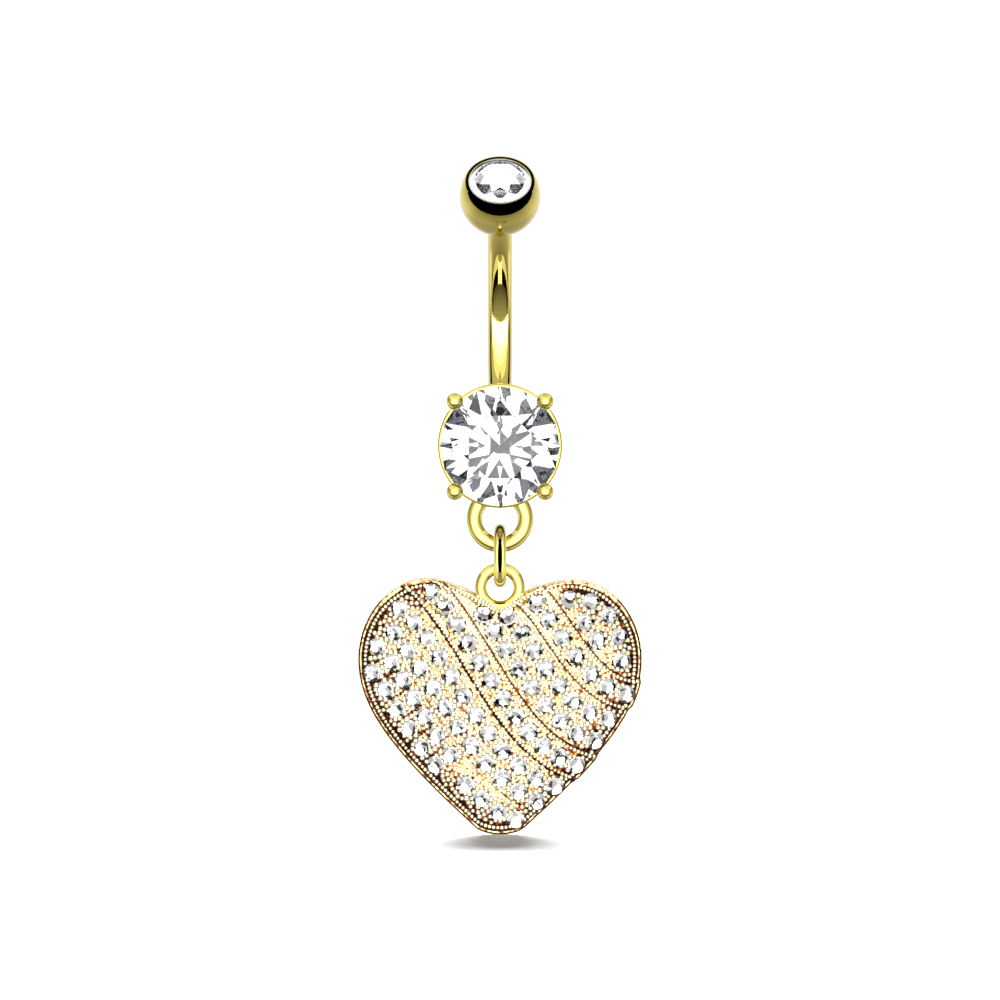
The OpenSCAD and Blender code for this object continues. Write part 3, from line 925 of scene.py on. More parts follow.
# %% [markdown]
# ## The heart: its body
# A fine grid takes the face's height, one point at a time, as a displaced
# plane does, and is closed into a block far below. The part of that block
# inside the outline is the heart. A displaced plane would need a picture of
# the heights; a grid that is moved by a formula needs none.

# %% Block with a shaped top
FINE_GRID = 0.075 * MM
COARSE_GRID = 0.3 * MM
GRID_MARGIN = 0.4 * MM
BLOCK_FLOOR = HEART_BACK - 2 * MM


def height_block(name, pitch, heights):
    """A grid over the whole heart, raised by a function and closed far below the back."""
    low, high = edge_line.min(0) - GRID_MARGIN, edge_line.max(0) + GRID_MARGIN
    size = high - low
    columns, rows = np.ceil(size / pitch).astype(int)
    block = new_shape(bpy.ops.mesh.primitive_grid_add, name, x_subdivisions=int(columns),
                      y_subdivisions=int(rows), size=1)
    place(block, Matrix.Translation((*((low + high) / 2), 0)) @ Matrix.Diagonal((*size, 1, 1)))
    points = np.empty(len(block.data.vertices) * 3)
    block.data.vertices.foreach_get("co", points)
    points = points.reshape(-1, 3)
    points[:, 2] = HEART_BACK + heights(points[:, :2])
    block.data.vertices.foreach_set("co", points.ravel())
    edit(block)
    bpy.ops.mesh.select_mode(type="EDGE")
    bpy.ops.mesh.select_all(action="DESELECT")
    bpy.ops.mesh.select_non_manifold()
    bpy.ops.mesh.extrude_edges_move()
    bpy.ops.transform.resize(value=(1, 1, 0), center_override=(0, 0, BLOCK_FLOOR))
    bpy.ops.mesh.edge_face_add()
    turn_outwards()
    stop_editing()
    return block


print("points to a centimetre of the face:", round(10 * MM / FINE_GRID))

# %% [markdown]
# The second block is the outline itself, pushed up through the whole heart.
# Its edges are rounded before the two are crossed, so the open back gets a
# rounded edge too, as a tumbled casting has.

# %% Block with the heart's outline
PRISM_H = 8 * MM
PRISM_SHARP = math.radians(60)


def from_points(name, points, faces):
    """A new object from a list of points and the faces between them."""
    mesh = bpy.data.meshes.new(name)
    mesh.from_pydata(points, [], faces)
    made = bpy.data.objects.new(name, mesh)
    bpy.context.scene.collection.objects.link(made)
    return made


def outline_prism(name, out, bottom):
    """The outline, moved out by a distance, as a tall block from the bottom up."""
    ring = moved_out(edge_line, out)
    prism = from_points(name, [(x, y, bottom) for x, y in ring], [list(range(len(ring)))])
    edit(prism)
    extrude((0, 0, PRISM_H))
    turn_outwards()
    stop_editing()
    return prism


BACK_ROUND = 0.15 * MM
heart = height_block("heart_metal", FINE_GRID, lambda points: face_parts(points)[0])
heart_block = outline_prism("outline_block", 0, HEART_BACK)
add_modifier(heart_block, "BEVEL", width=BACK_ROUND, segments=4, limit_method="ANGLE",
             angle_limit=PRISM_SHARP)
combine(heart, heart_block, "INTERSECT")
print("heart's face and side:", face_count(heart), "triangles")

# %% [markdown]
# Cast hearts are hollow behind, which saves metal and weight. The hollow is a
# second block under a coarser dome, one millimetre below the face and well
# inside the side, and it is cut away. The bail is a ring of wire that is
# soldered into the cleft.

# %% Heart back and bail
SIDE_WALL = 1.5 * MM
FACE_T = 1.0 * MM
HOLLOW_START = HEART_BACK - 1 * MM
hollow = height_block("hollow", COARSE_GRID, lambda points: dome_height(points) - FACE_T)
combine(hollow, outline_prism("hollow_outline", -SIDE_WALL, HOLLOW_START), "INTERSECT")
combine(heart, hollow, "DIFFERENCE")
bail = ring_on(BAIL_R, BAIL_WIRE, (0, 0, 0), "bail")
print("hollow heart:", face_count(heart), "triangles")

# %% [markdown]
# The material paints shade into the crevices, so it has to know where they
# are. So each point of the mesh keeps three numbers: `crevice`, `rim`, its
# distance inside the edge in millimetres, and `grainy`, which is 1 on the
# cast face and 0 on the side and the back. Only points that lie on the face
# get them.

# %% Numbers for the material
ON_FACE = 0.12 * MM


def store(piece, name, values):
    """Keeps one number for each point of a mesh."""
    layer = piece.data.attributes.new(name, "FLOAT", "POINT")
    layer.data.foreach_set("value", np.asarray(values, dtype=np.float32))


points = np.array([vertex.co for vertex in heart.data.vertices])
height, crevice, edge = face_parts(points[:, :2])
on_face = np.abs(points[:, 2] - HEART_BACK - height) < ON_FACE
store(heart, "crevice", np.where(on_face, crevice, 0))
store(heart, "rim", np.where(on_face, np.maximum(edge, 0) / MM, 0))
store(heart, "grainy", on_face)
for piece in (heart, bail):
    place(piece, HEART_FRAME)
    smooth(piece, degrees=40)
    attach(piece, "pendant")
    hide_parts("heart")
print("points on the face:", int(on_face.sum()), "of", len(points), "; bail:", face_count(bail))

# %% [markdown]
# ## Beads
# Small beads of metal hold each stone, and fine rows of them edge the ribbons
# and the rim: jewellers call that milgrain. One small ball is modelled and
# copied to every place. The places are found in order: first along the
# ribbons and the rim, then between the stones, each a bead's width from the
# last.

# %% Milgrain rows
MILGRAIN_PITCH = 0.27 * MM
MILGRAIN_IN = 0.09 * MM
RIM_ROW_IN = 0.5 * MM
ROW_EDGE_MIN = 0.25 * MM
STONE_CLEAR = 0.6 * MM
MILGRAIN_CLEAR = STONE_CLEAR - 0.02 * MM

ribbon_side = RIBBON_HALF - MILGRAIN_IN
rows = [spaced(row_line(row, side * ribbon_side, steps=80), MILGRAIN_PITCH)
        for row in (LONG_RIBBON, SHORT_RIBBON) for side in (-1, 1)]
rows.append(spaced(closed(moved_out(edge_line, -RIM_ROW_IN)), MILGRAIN_PITCH))
milgrain = np.vstack(rows)
edge = face_parts(milgrain)[2]
milgrain = milgrain[(edge > ROW_EDGE_MIN) & (nearest(milgrain, seats) > MILGRAIN_CLEAR)]
print("milgrain beads:", len(milgrain))

# %% [markdown]
# A setter raises beads wherever there is room between the stones. So very
# many places are tried, on a grid that is shaken a little. Those nearest to
# two stones come first, because they hold both, and a place is kept if no
# bead is near it yet. The random numbers start from a fixed seed, so the same
# beads come out each time.

# %% Beads between the stones
SEED = 5
rng = np.random.default_rng(SEED)
TRY_PITCH = 0.07 * MM
TRY_SHAKE = 0.02 * MM
BEAD_EDGE_MIN = 0.52 * MM
HOLE_CLEAR = 0.17 * MM
BEAD_SPACE = 0.29 * MM
TWO_STONES = 0.98 * MM
HOLDING_BEAD, FILLING_BEAD, MILGRAIN_BEAD = 0.18 * MM, 0.15 * MM, 0.125 * MM
BEAD_SPREAD = (0.85, 1.12)

low, high = outline.min(0), outline.max(0)
across, up = [np.arange(low[k], high[k], TRY_PITCH) for k in (0, 1)]
tries = np.stack(np.meshgrid(across, up), axis=-1).reshape(-1, 2)
tries = tries + rng.uniform(-TRY_SHAKE, TRY_SHAKE, tries.shape)
first, second = nearest(tries, seats), nearest(tries, seats, 1)
usable = (first > STONE_CLEAR) & (nearest(tries, holes) > HOLE_CLEAR)
usable &= face_parts(tries)[2] > BEAD_EDGE_MIN
tries, first, second = tries[usable], first[usable], second[usable]
chosen = list(milgrain)
for index in np.argsort(first + second):
    if np.hypot(*(np.array(chosen) - tries[index]).T).min() > BEAD_SPACE:
        chosen.append(tries[index])
places = np.array(chosen)
sizes = np.where(nearest(places, seats, 1) < TWO_STONES, HOLDING_BEAD, FILLING_BEAD)
sizes[:len(milgrain)] = MILGRAIN_BEAD
sizes = sizes * rng.uniform(*BEAD_SPREAD, len(sizes))
print("beads:", len(places), "of them milgrain:", len(milgrain))

# %% [markdown]
# At the cleft the beads run on over the foot of the bail and hide where it is
# soldered. These two short rows follow the heart's edge, and lie on the wire
# in place of the face.

# %% Beads on the bail's foot
FOOT_BEAD = 0.14 * MM
FOOT_PITCH = 1.6 * FOOT_BEAD
FOOT_LOW = -1.31 * MM
FOOT_ROWS = (0.12 * MM, 0.34 * MM)
foot_rows = []
for row_in in FOOT_ROWS:
    line = moved_out(edge_line, -row_in)
    line = line[lengths(line) < BAIL_R + 2 * BAIL_WIRE]
    line = line[np.argsort(line[:, 0])]
    line[:, 1] = np.maximum(line[:, 1], FOOT_LOW + FOOT_ROWS[0] - row_in)
    foot_rows.append(spaced(line, FOOT_PITCH))
foot_places = np.vstack(foot_rows)
off_wire = lengths(foot_places) - BAIL_R
on_wire = np.abs(off_wire) < BAIL_WIRE
foot_places = foot_places[on_wire]
foot_heights = np.sqrt(BAIL_WIRE ** 2 - off_wire[on_wire] ** 2)
print("beads on the bail's foot:", len(foot_places))

# %% [markdown]
# More than a thousand beads are one piece, so each has few faces: a ball of 8
# by 5 reads as round at a third of a millimetre. Every copy has its own turn
# and size, because punched beads are never alike, and sinks in by two thirds
# of its radius.

# %% Copy the bead to its places
BEAD_RISE = 0.35
BEAD_TURN = 3


def scatter(pattern, matrices, name):
    """One mesh of copies of a pattern, a copy at each matrix. The pattern goes."""
    corners = np.array([(*vertex.co, 1) for vertex in pattern.data.vertices])
    faces = [tuple(polygon.vertices) for polygon in pattern.data.polygons]
    points, polygons = [], []
    for matrix in matrices:
        start = len(corners) * len(points)
        points.append(corners @ np.array(matrix).T[:, :3])
        polygons.extend([tuple(start + index for index in face) for face in faces])
    bpy.data.objects.remove(pattern)
    return from_points(name, np.vstack(points).tolist(), polygons)


bead = new_shape(bpy.ops.mesh.primitive_uv_sphere_add, "bead", segments=8, ring_count=5, radius=1)
heights = np.concatenate([HEART_BACK + face_parts(places)[0], foot_heights])
turns = np.concatenate([rng.uniform(0, BEAD_TURN, len(places)), np.zeros(len(foot_places))])
sizes = np.concatenate([sizes, np.full(len(foot_places), FOOT_BEAD)])
matrices = [HEART_FRAME @ Matrix.Translation((x, y, z + BEAD_RISE * r)) @ Matrix.Rotation(turn, 4, "Z")
            @ Matrix.Scale(r, 4)
            for (x, y), z, r, turn in zip(np.vstack([places, foot_places]), heights, sizes, turns)]
beads = scatter(bead, matrices, "heart_beads")
store(beads, "grainy", np.ones(len(beads.data.vertices)))
smooth(beads, degrees=80)
print("beads:", face_count(beads), "triangles")
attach(beads, "pendant")
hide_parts("heart")

# %% [markdown]
# ## The small stones
# Each is the same round brilliant as the large stone, so the large stone's
# shape is scaled down and copied to the measured places. A stone setter
# never lines the facets up, so each copy has its own turn and a slight tilt.

# %% Small stones
SMALL_SHOWN = 0.595 * MM
SMALL_LIFT = 0.02 * MM
TILT_MOST = 2.5
tilts = np.radians(rng.uniform(-TILT_MOST, TILT_MOST, (len(small_frames), 2)))
turns = rng.uniform(0, math.pi / 4, len(small_frames))
matrices = [each @ Matrix.Translation((0, 0, SMALL_LIFT)) @ Matrix.Rotation(tilt[0], 4, "X")
            @ Matrix.Rotation(tilt[1], 4, "Y") @ Matrix.Rotation(turn, 4, "Z")
            @ Matrix.Scale(SMALL_SHOWN / STONE_R, 4)
            for each, tilt, turn in zip(small_frames, tilts, turns)]
small_stones = scatter(stone_pattern, matrices, "small_brilliants")
print("small stones:", face_count(small_stones), "triangles")
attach(small_stones, "pendant")
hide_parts("pave_stones")

# %% [markdown]
# ## Finishes
# A material is a small graph of nodes. A metal's colour is the colour of its
# reflections, so most of the look comes from the light. Fine noise in the
# roughness and a faint bump keep the polish from looking like plastic. What
# is the same all over a piece is set on the shader itself, and what changes
# comes from nodes. The helpers below each add one kind of node. The first
# two are where a pattern comes from: noise in the object's own space, or a
# number that the mesh keeps.

# %% Where a pattern comes from
def feed(tree, value, socket):
    """Links another node's output to a socket, or sets the socket's value."""
    if isinstance(value, bpy.types.NodeSocket):
        tree.links.new(value, socket)
    else:
        socket.default_value = value


def object_noise(tree, scale, detail=4.0, stretch=(1, 1, 1)):
    """Noise that stays on the piece, with its scale in waves per metre."""
    where = tree.nodes.new("ShaderNodeTexCoord")
    mapping = tree.nodes.new("ShaderNodeMapping")
    mapping.inputs["Scale"].default_value = stretch
    noise = tree.nodes.new("ShaderNodeTexNoise")
    noise.inputs["Scale"].default_value = scale
    noise.inputs["Detail"].default_value = detail
    tree.links.new(where.outputs["Object"], mapping.inputs["Vector"])
    tree.links.new(mapping.outputs["Vector"], noise.inputs["Vector"])
    return noise.outputs["Fac"]


def stored(tree, name):
    """A number that the mesh keeps for each point."""
    node = tree.nodes.new("ShaderNodeAttribute")
    node.attribute_name = name
    return node.outputs["Fac"]


print("helpers for patterns are ready")

# %% [markdown]
# The next ones work with what the first two give: a sum, a change of range, a
# colour for each value, and one colour turning into another.

# %% What a pattern is turned into
MIX_SHARE, MIX_FIRST, MIX_SECOND, MIX_RESULT = 0, 6, 7, 2  # a colour mix's sockets


def worked_out(tree, operation, *values):
    """A sum on numbers or on other nodes' outputs."""
    node = tree.nodes.new("ShaderNodeMath")
    node.operation = operation
    for value, socket in zip(values, node.inputs):
        feed(tree, value, socket)
    return node.outputs["Value"]


def spread(tree, source, low, high, start=0.0, end=1.0):
    """Goes from low to high as the source goes from start to end."""
    node = tree.nodes.new("ShaderNodeMapRange")
    tree.links.new(source, node.inputs["Value"])
    for name, value in (("From Min", start), ("From Max", end), ("To Min", low), ("To Max", high)):
        node.inputs[name].default_value = value
    return node.outputs["Result"]


def coloured(tree, source, stops):
    """A colour for each value of the source, in stops of a value and a colour."""
    node = tree.nodes.new("ShaderNodeValToRGB")
    elements = node.color_ramp.elements
    for index, (position, colour) in enumerate(stops):
        stop = elements[index] if index < 2 else elements.new(position)
        stop.position = position
        stop.color = (*colour, 1)
    tree.links.new(source, node.inputs["Fac"])
    return node.outputs["Color"]


def blended(tree, share, first, second):
    """One colour turning into another as the share goes from 0 to 1."""
    node = tree.nodes.new("ShaderNodeMix")
    node.data_type = "RGBA"
    for value, socket in ((share, MIX_SHARE), (first, MIX_FIRST), (second, MIX_SECOND)):
        feed(tree, value, node.inputs[socket])
    return node.outputs[MIX_RESULT]


print("helpers for sums and colours are ready")

# %% [markdown]
# Every finish of this ring starts the same way: a shader, a colour that
# wanders between two tones, a roughness that wanders between two values, and
# often a faint bump. So these are helpers too.

# %% Parts of a finish
NOISE_LOW, NOISE_HIGH = 0.3, 0.7  # most of a noise's values lie between


def new_finish(name, values):
    """A material, its graph and its shader, with what is the same all over it."""
    material = bpy.data.materials.new(name)
    material.use_nodes = True
    shader = material.node_tree.nodes["Principled BSDF"]
    for socket, value in values.items():
        shader.inputs[socket].default_value = value
    return material, material.node_tree, shader


def two_tones(tree, source, dark, light):
    return coloured(tree, source, ((NOISE_LOW, dark), (NOISE_HIGH, light)))


def vary_colour(tree, shader, noise, dark, light):
    tree.links.new(two_tones(tree, noise, dark, light), shader.inputs["Base Color"])


def vary_roughness(tree, shader, noise, low, high):
    tree.links.new(spread(tree, noise, low, high, NOISE_LOW, NOISE_HIGH), shader.inputs["Roughness"])


def add_bump(tree, shader, source, distance, strength):
    bump = tree.nodes.new("ShaderNodeBump")
    bump.inputs["Strength"].default_value = strength
    bump.inputs["Distance"].default_value = distance
    tree.links.new(source, bump.inputs["Height"])
    tree.links.new(bump.outputs["Normal"], shader.inputs["Normal"])


def dress(piece, *materials):
    """Gives a piece these materials in place of what it had."""
    piece.data.materials.clear()
    for material in materials:
        piece.data.materials.append(material)


print("helpers for finishes are ready")

# %% [markdown]
# Gold plate over polished steel is a pale yellow gold, under a thin clear
# coat that keeps it from wearing off. The coat adds the white glints. The
# finer noise is drawn out up and down, as the last strokes of a polishing
# cloth are.

# %% Gold plate
gold, tree, shader = new_finish("gold_plate", {
    "Metallic": 1, "Coat Weight": 0.55, "Coat Roughness": 0.04, "Coat IOR": 1.7})
clouds = object_noise(tree, scale=700)
vary_colour(tree, shader, clouds, dark=(0.63, 0.51, 0.09), light=(0.68, 0.55, 0.11))
strokes = object_noise(tree, scale=5200, detail=6, stretch=(1, 1, 0.35))
vary_roughness(tree, shader, strokes, low=0.05, high=0.11)
add_bump(tree, shader, strokes, distance=0.0006 * MM, strength=0.6)
for piece in (bar, basket, ball, link, bail):
    dress(piece, gold)
print("gold plate on", bar.name, basket.name, ball.name, link.name, bail.name)

# %% [markdown]
# ## Heart gold: grain
# The heart is cast, and its face keeps a fine grain between the stones that
# the smooth side and back don't have. `grainy` sets how much of the noise
# shows: all of it on the face and on the beads, and a tenth elsewhere. The
# noise moves the colour from a deep to a nearly white gold.

# %% Heart grain
heart_gold, tree, shader = new_finish("heart_gold", {"Metallic": 1, "Coat Roughness": 0.05})
SMOOTH_SHARE = 0.1
grain = object_noise(tree, scale=4400, detail=5)
grain_share = spread(tree, stored(tree, "grainy"), low=SMOOTH_SHARE, high=1)
centred = worked_out(tree, "SUBTRACT", grain, 0.5)
shown_grain = worked_out(tree, "MULTIPLY_ADD", centred, grain_share, 0.5)
grain_tone = two_tones(tree, shown_grain, dark=(0.86, 0.58, 0.13), light=(1.0, 0.96, 0.82))
print("heart gold's grain:", len(tree.nodes), "nodes")

# %% [markdown]
# ## Heart gold: painted shade in the crevices
# The crevices are painted dark, which stands for the shade that falls into
# them: orange at first, then red-brown, then nearly black. Noise is added to
# `crevice` before it is read, so the dark has a broken edge. The painted
# shade is 0 on bright metal and 1 where it is darkest, and its colour covers
# the grain early on.

# %% Painted shade in the crevices
SHADE_START, SHADE_FULL = 0.95, 1.4
SHADE_BREAK = 1.3
COVERED_AT = 0.35
# Painted shade in the crevices, from orange through red-brown to nearly black.
broken = worked_out(tree, "MULTIPLY_ADD", grain, SHADE_BREAK, stored(tree, "crevice"))
painted_shade = spread(tree, broken, low=0, high=1, start=SHADE_START, end=SHADE_FULL)
shade_tone = coloured(tree, painted_shade, (
    (0.0, (1.0, 0.66, 0.12)), (0.38, (0.34, 0.08, 0.012)), (0.85, (0.022, 0.005, 0.002))))
covered = spread(tree, painted_shade, low=0, high=1, end=COVERED_AT)
grain_and_shade = blended(tree, covered, grain_tone, shade_tone)
print("with its tarnish:", len(tree.nodes), "nodes")

# %% [markdown]
# ## Heart gold: painted shade along the rim
# Two fine dark lines of painted shade follow the edge of the heart. `rim`
# gives the distance from the edge in millimetres. In the stops below, 1 is
# bright and 0 is a line. The lines begin below the cleft, so the top of the
# heart stays bright.

# %% Rim lines
RIM_STOPS = ((0.0, 1), (0.045, 1), (0.065, 0), (0.135, 0), (0.155, 1), (0.22, 1), (0.24, 0), (0.34, 0),
             (0.36, 1))
# The colour of the painted shade in the rim's lines.
RIM_SHADE_TONE = (0.03, 0.008, 0.003, 1)
LINES_START, LINES_FULL = HEART_AT.z - 0.3 * MM, HEART_AT.z - 3 * MM
bright = coloured(tree, stored(tree, "rim"), [(at, (level, level, level)) for at, level in RIM_STOPS])
where = tree.nodes.new("ShaderNodeTexCoord")
axes = tree.nodes.new("ShaderNodeSeparateXYZ")
tree.links.new(where.outputs["Object"], axes.inputs["Vector"])
below_cleft = spread(tree, axes.outputs["Z"], low=0, high=1, start=LINES_START, end=LINES_FULL)
rim_shade_share = worked_out(tree, "MULTIPLY", worked_out(tree, "SUBTRACT", 1, bright), below_cleft)
tree.links.new(blended(tree, rim_shade_share, grain_and_shade, RIM_SHADE_TONE), shader.inputs["Base Color"])
print("with the rim's lines:", len(tree.nodes), "nodes")

# %% [markdown]
# ## Heart gold: polish
# Bright metal is smooth and lacquered. Where shade is painted, the metal is rough and has no lacquer.
# The bump is deeper than on the plated parts, because it is the casting's own
# grain. Beads and face share the finish, so they look like one metal.

# %% Polish and grain of the heart
tree.links.new(spread(tree, painted_shade, low=0.5, high=0), shader.inputs["Coat Weight"])
tree.links.new(spread(tree, painted_shade, low=0.12, high=0.55), shader.inputs["Roughness"])
add_bump(tree, shader, shown_grain, distance=0.02 * MM, strength=0.8)
for piece in (heart, beads):
    dress(piece, heart_gold)
print("heart gold on", heart.name, beads.name)

# %% [markdown]
# The cup is bright steel, left unplated so that the crystal looks white. Its
# noise is finer than the gold's, as the marks of a lathe are.

# %% Bright steel
steel, tree, shader = new_finish("bright_steel", {"Metallic": 1})
turning = object_noise(tree, scale=4000, detail=5)
vary_colour(tree, shader, turning, dark=(0.88, 0.89, 0.90), light=(0.95, 0.955, 0.96))
vary_roughness(tree, shader, turning, low=0.05, high=0.12)
add_bump(tree, shader, turning, distance=0.0005 * MM, strength=0.5)
dress(cup, steel)
print("steel on", cup.name)

# %% [markdown]
# The stones are cubic zirconia: clear as glass, but light bends in it more
# (2.15 against 1.5), so flat facets throw it back out of the front as bright
# and dark patches. Facets stay flat-shaded. Faint noise in the roughness
# stands for polish, and keeps each facet a little different.

# %% Zirconia
ZIRCONIA_BENDS = 2.15
STONE_WAVES = 900


def zirconia(name, tint):
    material, tree, shader = new_finish(name, {"Transmission Weight": 1, "IOR": ZIRCONIA_BENDS})
    polish = object_noise(tree, STONE_WAVES)
    vary_colour(tree, shader, polish, dark=tint, light=(1, 1, 1))
    vary_roughness(tree, shader, polish, low=0.0, high=0.012)
    return material


main_stone = frame["nodes"]["main_stone"]
dress(main_stone, zirconia("clear_stone", (0.74, 0.81, 1)))
dress(small_stones, zirconia("small_stones", (0.98, 0.985, 1)))
print("zirconia on the large stone and", len(small_frames), "small stones")

# %% [markdown]
# The crystal in the ball is glass with a foil on its back, as pressed-in
# crystals are: the back facets are mirrors, which gives fewer and larger
# patches of light than the big stone has. The glass is partly metallic too,
# which stands for the thin mirror coat that such crystals have in front.

# %% Crystal glass and foil
crystal_glass, tree, shader = new_finish("crystal_glass", {
    "Transmission Weight": 1, "Metallic": 0.55, "IOR": 1.6})
polish = object_noise(tree, STONE_WAVES)
vary_colour(tree, shader, polish, dark=(0.97, 0.98, 1), light=(1, 1, 1))
vary_roughness(tree, shader, polish, low=0.0, high=0.01)
foil, tree, shader = new_finish("crystal_foil", {"Metallic": 1})
ripple = object_noise(tree, scale=1500)
vary_colour(tree, shader, ripple, dark=(0.86, 0.87, 0.89), light=(0.96, 0.96, 0.97))
vary_roughness(tree, shader, ripple, low=0.01, high=0.04)
print("glass and foil are ready")

# %% [markdown]
# The back faces are found by their normals, which point away from the
# crystal's table, and get the second material.

# %% Foil on the crystal's back
FOIL_SLOT = 1
BACK_FACING = -0.1
dress(crystal, crystal_glass, foil)
ball_axis = Vector((0, -math.sin(BALL_TILT), math.cos(BALL_TILT)))
backs = [polygon for polygon in crystal.data.polygons if polygon.normal.dot(ball_axis) < BACK_FACING]
for polygon in backs:
    polygon.material_index = FOIL_SLOT
print("crystal:", len(crystal.data.polygons), "faces,", len(backs), "of them foiled")

# %% [markdown]
# ## The floor
# The heart's point hangs just above a plain pale floor. The floor shows to
# the camera but not in the metal, so the light alone shapes the reflections.

# %% Floor
FLOOR_Z = cad_box[0][2] - 0.12 * MM
FLOOR_R = 0.9
FLOOR_GREY = 0.62
floor = new_shape(bpy.ops.mesh.primitive_circle_add, "floor", vertices=96, radius=FLOOR_R,
                  fill_type="NGON", location=(0, 0, FLOOR_Z))
settle(floor)
floor_white, tree, shader = new_finish("floor_white", {
    "Base Color": (FLOOR_GREY, FLOOR_GREY, FLOOR_GREY, 1), "Roughness": 0.35, "Specular IOR Level": 0.1})
dress(floor, floor_white)
floor.visible_glossy = False
floor.visible_transmission = False
print("floor at, mm:", in_mm([FLOOR_Z]))

# %% [markdown]
# ## The surroundings
# The surroundings are bright behind and below, and dark in front and above:
# polished metal needs something dark to mirror, or it looks like plastic. The
# border between the two is a tilted circle, which the ball mirrors as the
# black crescent under its cup. A curve gives the light for each distance from
# that circle's middle, and a second one dims it towards the ground. The
# camera itself sees plain white.

# %% Levels from a curve
scene = bpy.context.scene
world = bpy.data.worlds.new("studio")
scene.world = world
world.use_nodes = True
tree = world.node_tree
tree.nodes.clear()


def level_curve(tree, source, stops):
    """A level for each value of the source, in stops of a value from -1 to 1 and a level."""
    top = max(level for value, level in stops)
    curve = tree.nodes.new("ShaderNodeFloatCurve")
    points = curve.mapping.curves[0].points
    for index, (value, level) in enumerate(stops):
        where = ((value + 1) / 2, level / top)
        point = points[index] if index < 2 else points.new(*where)
        point.location = where
        point.handle_type = "VECTOR"
    curve.mapping.update()
    feed(tree, spread(tree, source, low=0, high=1, start=-1, end=1), curve.inputs["Value"])
    return worked_out(tree, "MULTIPLY", curve.outputs["Value"], top)


print("surroundings:", world.name)

# %% [markdown]
# A direction is an arrow of length one. Its share along the border's own
# axis, which leans by 40 degrees, says how far behind the border it points.
# The narrow peak just behind the border edges the black crescent with light.

# %% Surroundings
BORDER_LEAN = math.radians(40.5)
SEEN_BY_CAMERA = 1.05
AROUND_STOPS = ((-1, 0), (0.162, 0), (0.18, 1.0), (0.19, 0.95), (0.215, 0.55), (0.3, 0.82), (0.49, 1.0),
                (0.65, 1.15), (0.78, 1.0), (0.9, 0.9), (1, 0.9))
HEIGHT_STOPS = ((-1, 0.45), (-0.6, 0.6), (-0.3, 0.95), (0, 1.0), (1, 1.1))

output = tree.nodes.new("ShaderNodeOutputWorld")
background = tree.nodes.new("ShaderNodeBackground")
tree.links.new(background.outputs["Background"], output.inputs["Surface"])
direction = tree.nodes.new("ShaderNodeTexCoord")
axes = tree.nodes.new("ShaderNodeSeparateXYZ")
tree.links.new(direction.outputs["Generated"], axes.inputs["Vector"])
back_share = worked_out(tree, "MULTIPLY", axes.outputs["Y"], math.cos(BORDER_LEAN))
up_share = worked_out(tree, "MULTIPLY", axes.outputs["Z"], math.sin(BORDER_LEAN))
behind = worked_out(tree, "SUBTRACT", back_share, up_share)
around = level_curve(tree, behind, AROUND_STOPS)
by_height = level_curve(tree, axes.outputs["Z"], HEIGHT_STOPS)
rays = tree.nodes.new("ShaderNodeLightPath")
seen = tree.nodes.new("ShaderNodeMix")
feed(tree, rays.outputs["Is Camera Ray"], seen.inputs["Factor"])
feed(tree, worked_out(tree, "MULTIPLY", around, by_height), seen.inputs["A"])
feed(tree, SEEN_BY_CAMERA, seen.inputs["B"])
feed(tree, seen.outputs["Result"], background.inputs["Strength"])
feed(tree, (1, 1, 1, 1), background.inputs["Color"])
print("surroundings:", len(tree.nodes), "nodes")

# %% [markdown]
# ## Lamps
# A photographer lights each part of a jewel with its own card or softbox, and
# flags it off the rest. Light linking does that here: a lamp reaches only the
# pieces that it is given. Each lamp is a flat panel that faces the jewel, and
# the metal mirrors it, so its place and outline are those of a highlight.
# Spans are given as tangents, so they keep their size however far off the
# panel stands.

# %% A lamp for some of the pieces
CAMERA_AIM = Vector((0, -7 * MM, -12.34 * MM))
AWAY = 0.25
PANEL_STEP = 0.5 * MM


def light_only(lamp, pieces):
    """Light linking: the lamp reaches these pieces and no others."""
    name = "lit_" + "_".join(piece.name for piece in pieces)
    lit = bpy.data.collections.get(name)
    if not lit:
        lit = bpy.data.collections.new(name)
        for piece in pieces:
            lit.objects.link(piece)
    lamp.light_linking.receiver_collection = lit


def panel(name, azimuth, rise, span, brightness, pieces, aim=CAMERA_AIM):
    """A lit panel for some of the pieces. Brightness 1 shows as white in a mirror.

    span is left, right, bottom and top, as tangents seen from the jewel. Each
    panel stands a little further off than the last: a ray that meets one goes
    on to the next behind it, which it can't do when both are in one plane.
    """
    around, up = math.radians(azimuth), math.radians(rise)
    out = Vector((math.sin(around) * math.cos(up), -math.cos(around) * math.cos(up), math.sin(up)))
    turn = (-out).to_track_quat("-Z", "Y")
    shift = Vector(((span[0] + span[1]) / 2, (span[2] + span[3]) / 2, 0))
    away = AWAY + PANEL_STEP * len(bpy.data.lights)
    lamp = new_shape(bpy.ops.object.light_add, name, type="AREA", rotation=turn.to_euler(),
                     location=aim + away * (out + turn @ shift))
    lamp.data.shape = "RECTANGLE"
    lamp.data.size = away * (span[1] - span[0])
    lamp.data.size_y = away * (span[3] - span[2])
    lamp.data.energy = brightness * math.pi * lamp.data.size * lamp.data.size_y
    lamp.visible_camera = False
    light_only(lamp, pieces)
    return lamp


print("panels stand from", AWAY, "m off")

# %% [markdown]
# Most highlights are made of several panels, so a table of them is easier to
# read and to change than a call for each.

# %% Tables of lamps
def panels(pieces, aim, rows):
    """One panel for each row of name, azimuth, rise, span and brightness."""
    for name, azimuth, rise, span, brightness in rows:
        panel(name, azimuth, rise, span, brightness, pieces, aim)


def centred_span(half_width, half_height):
    return (-half_width, half_width, -half_height, half_height)


def lamp_count():
    return len([item for item in scene.objects if item.type == "LIGHT"])


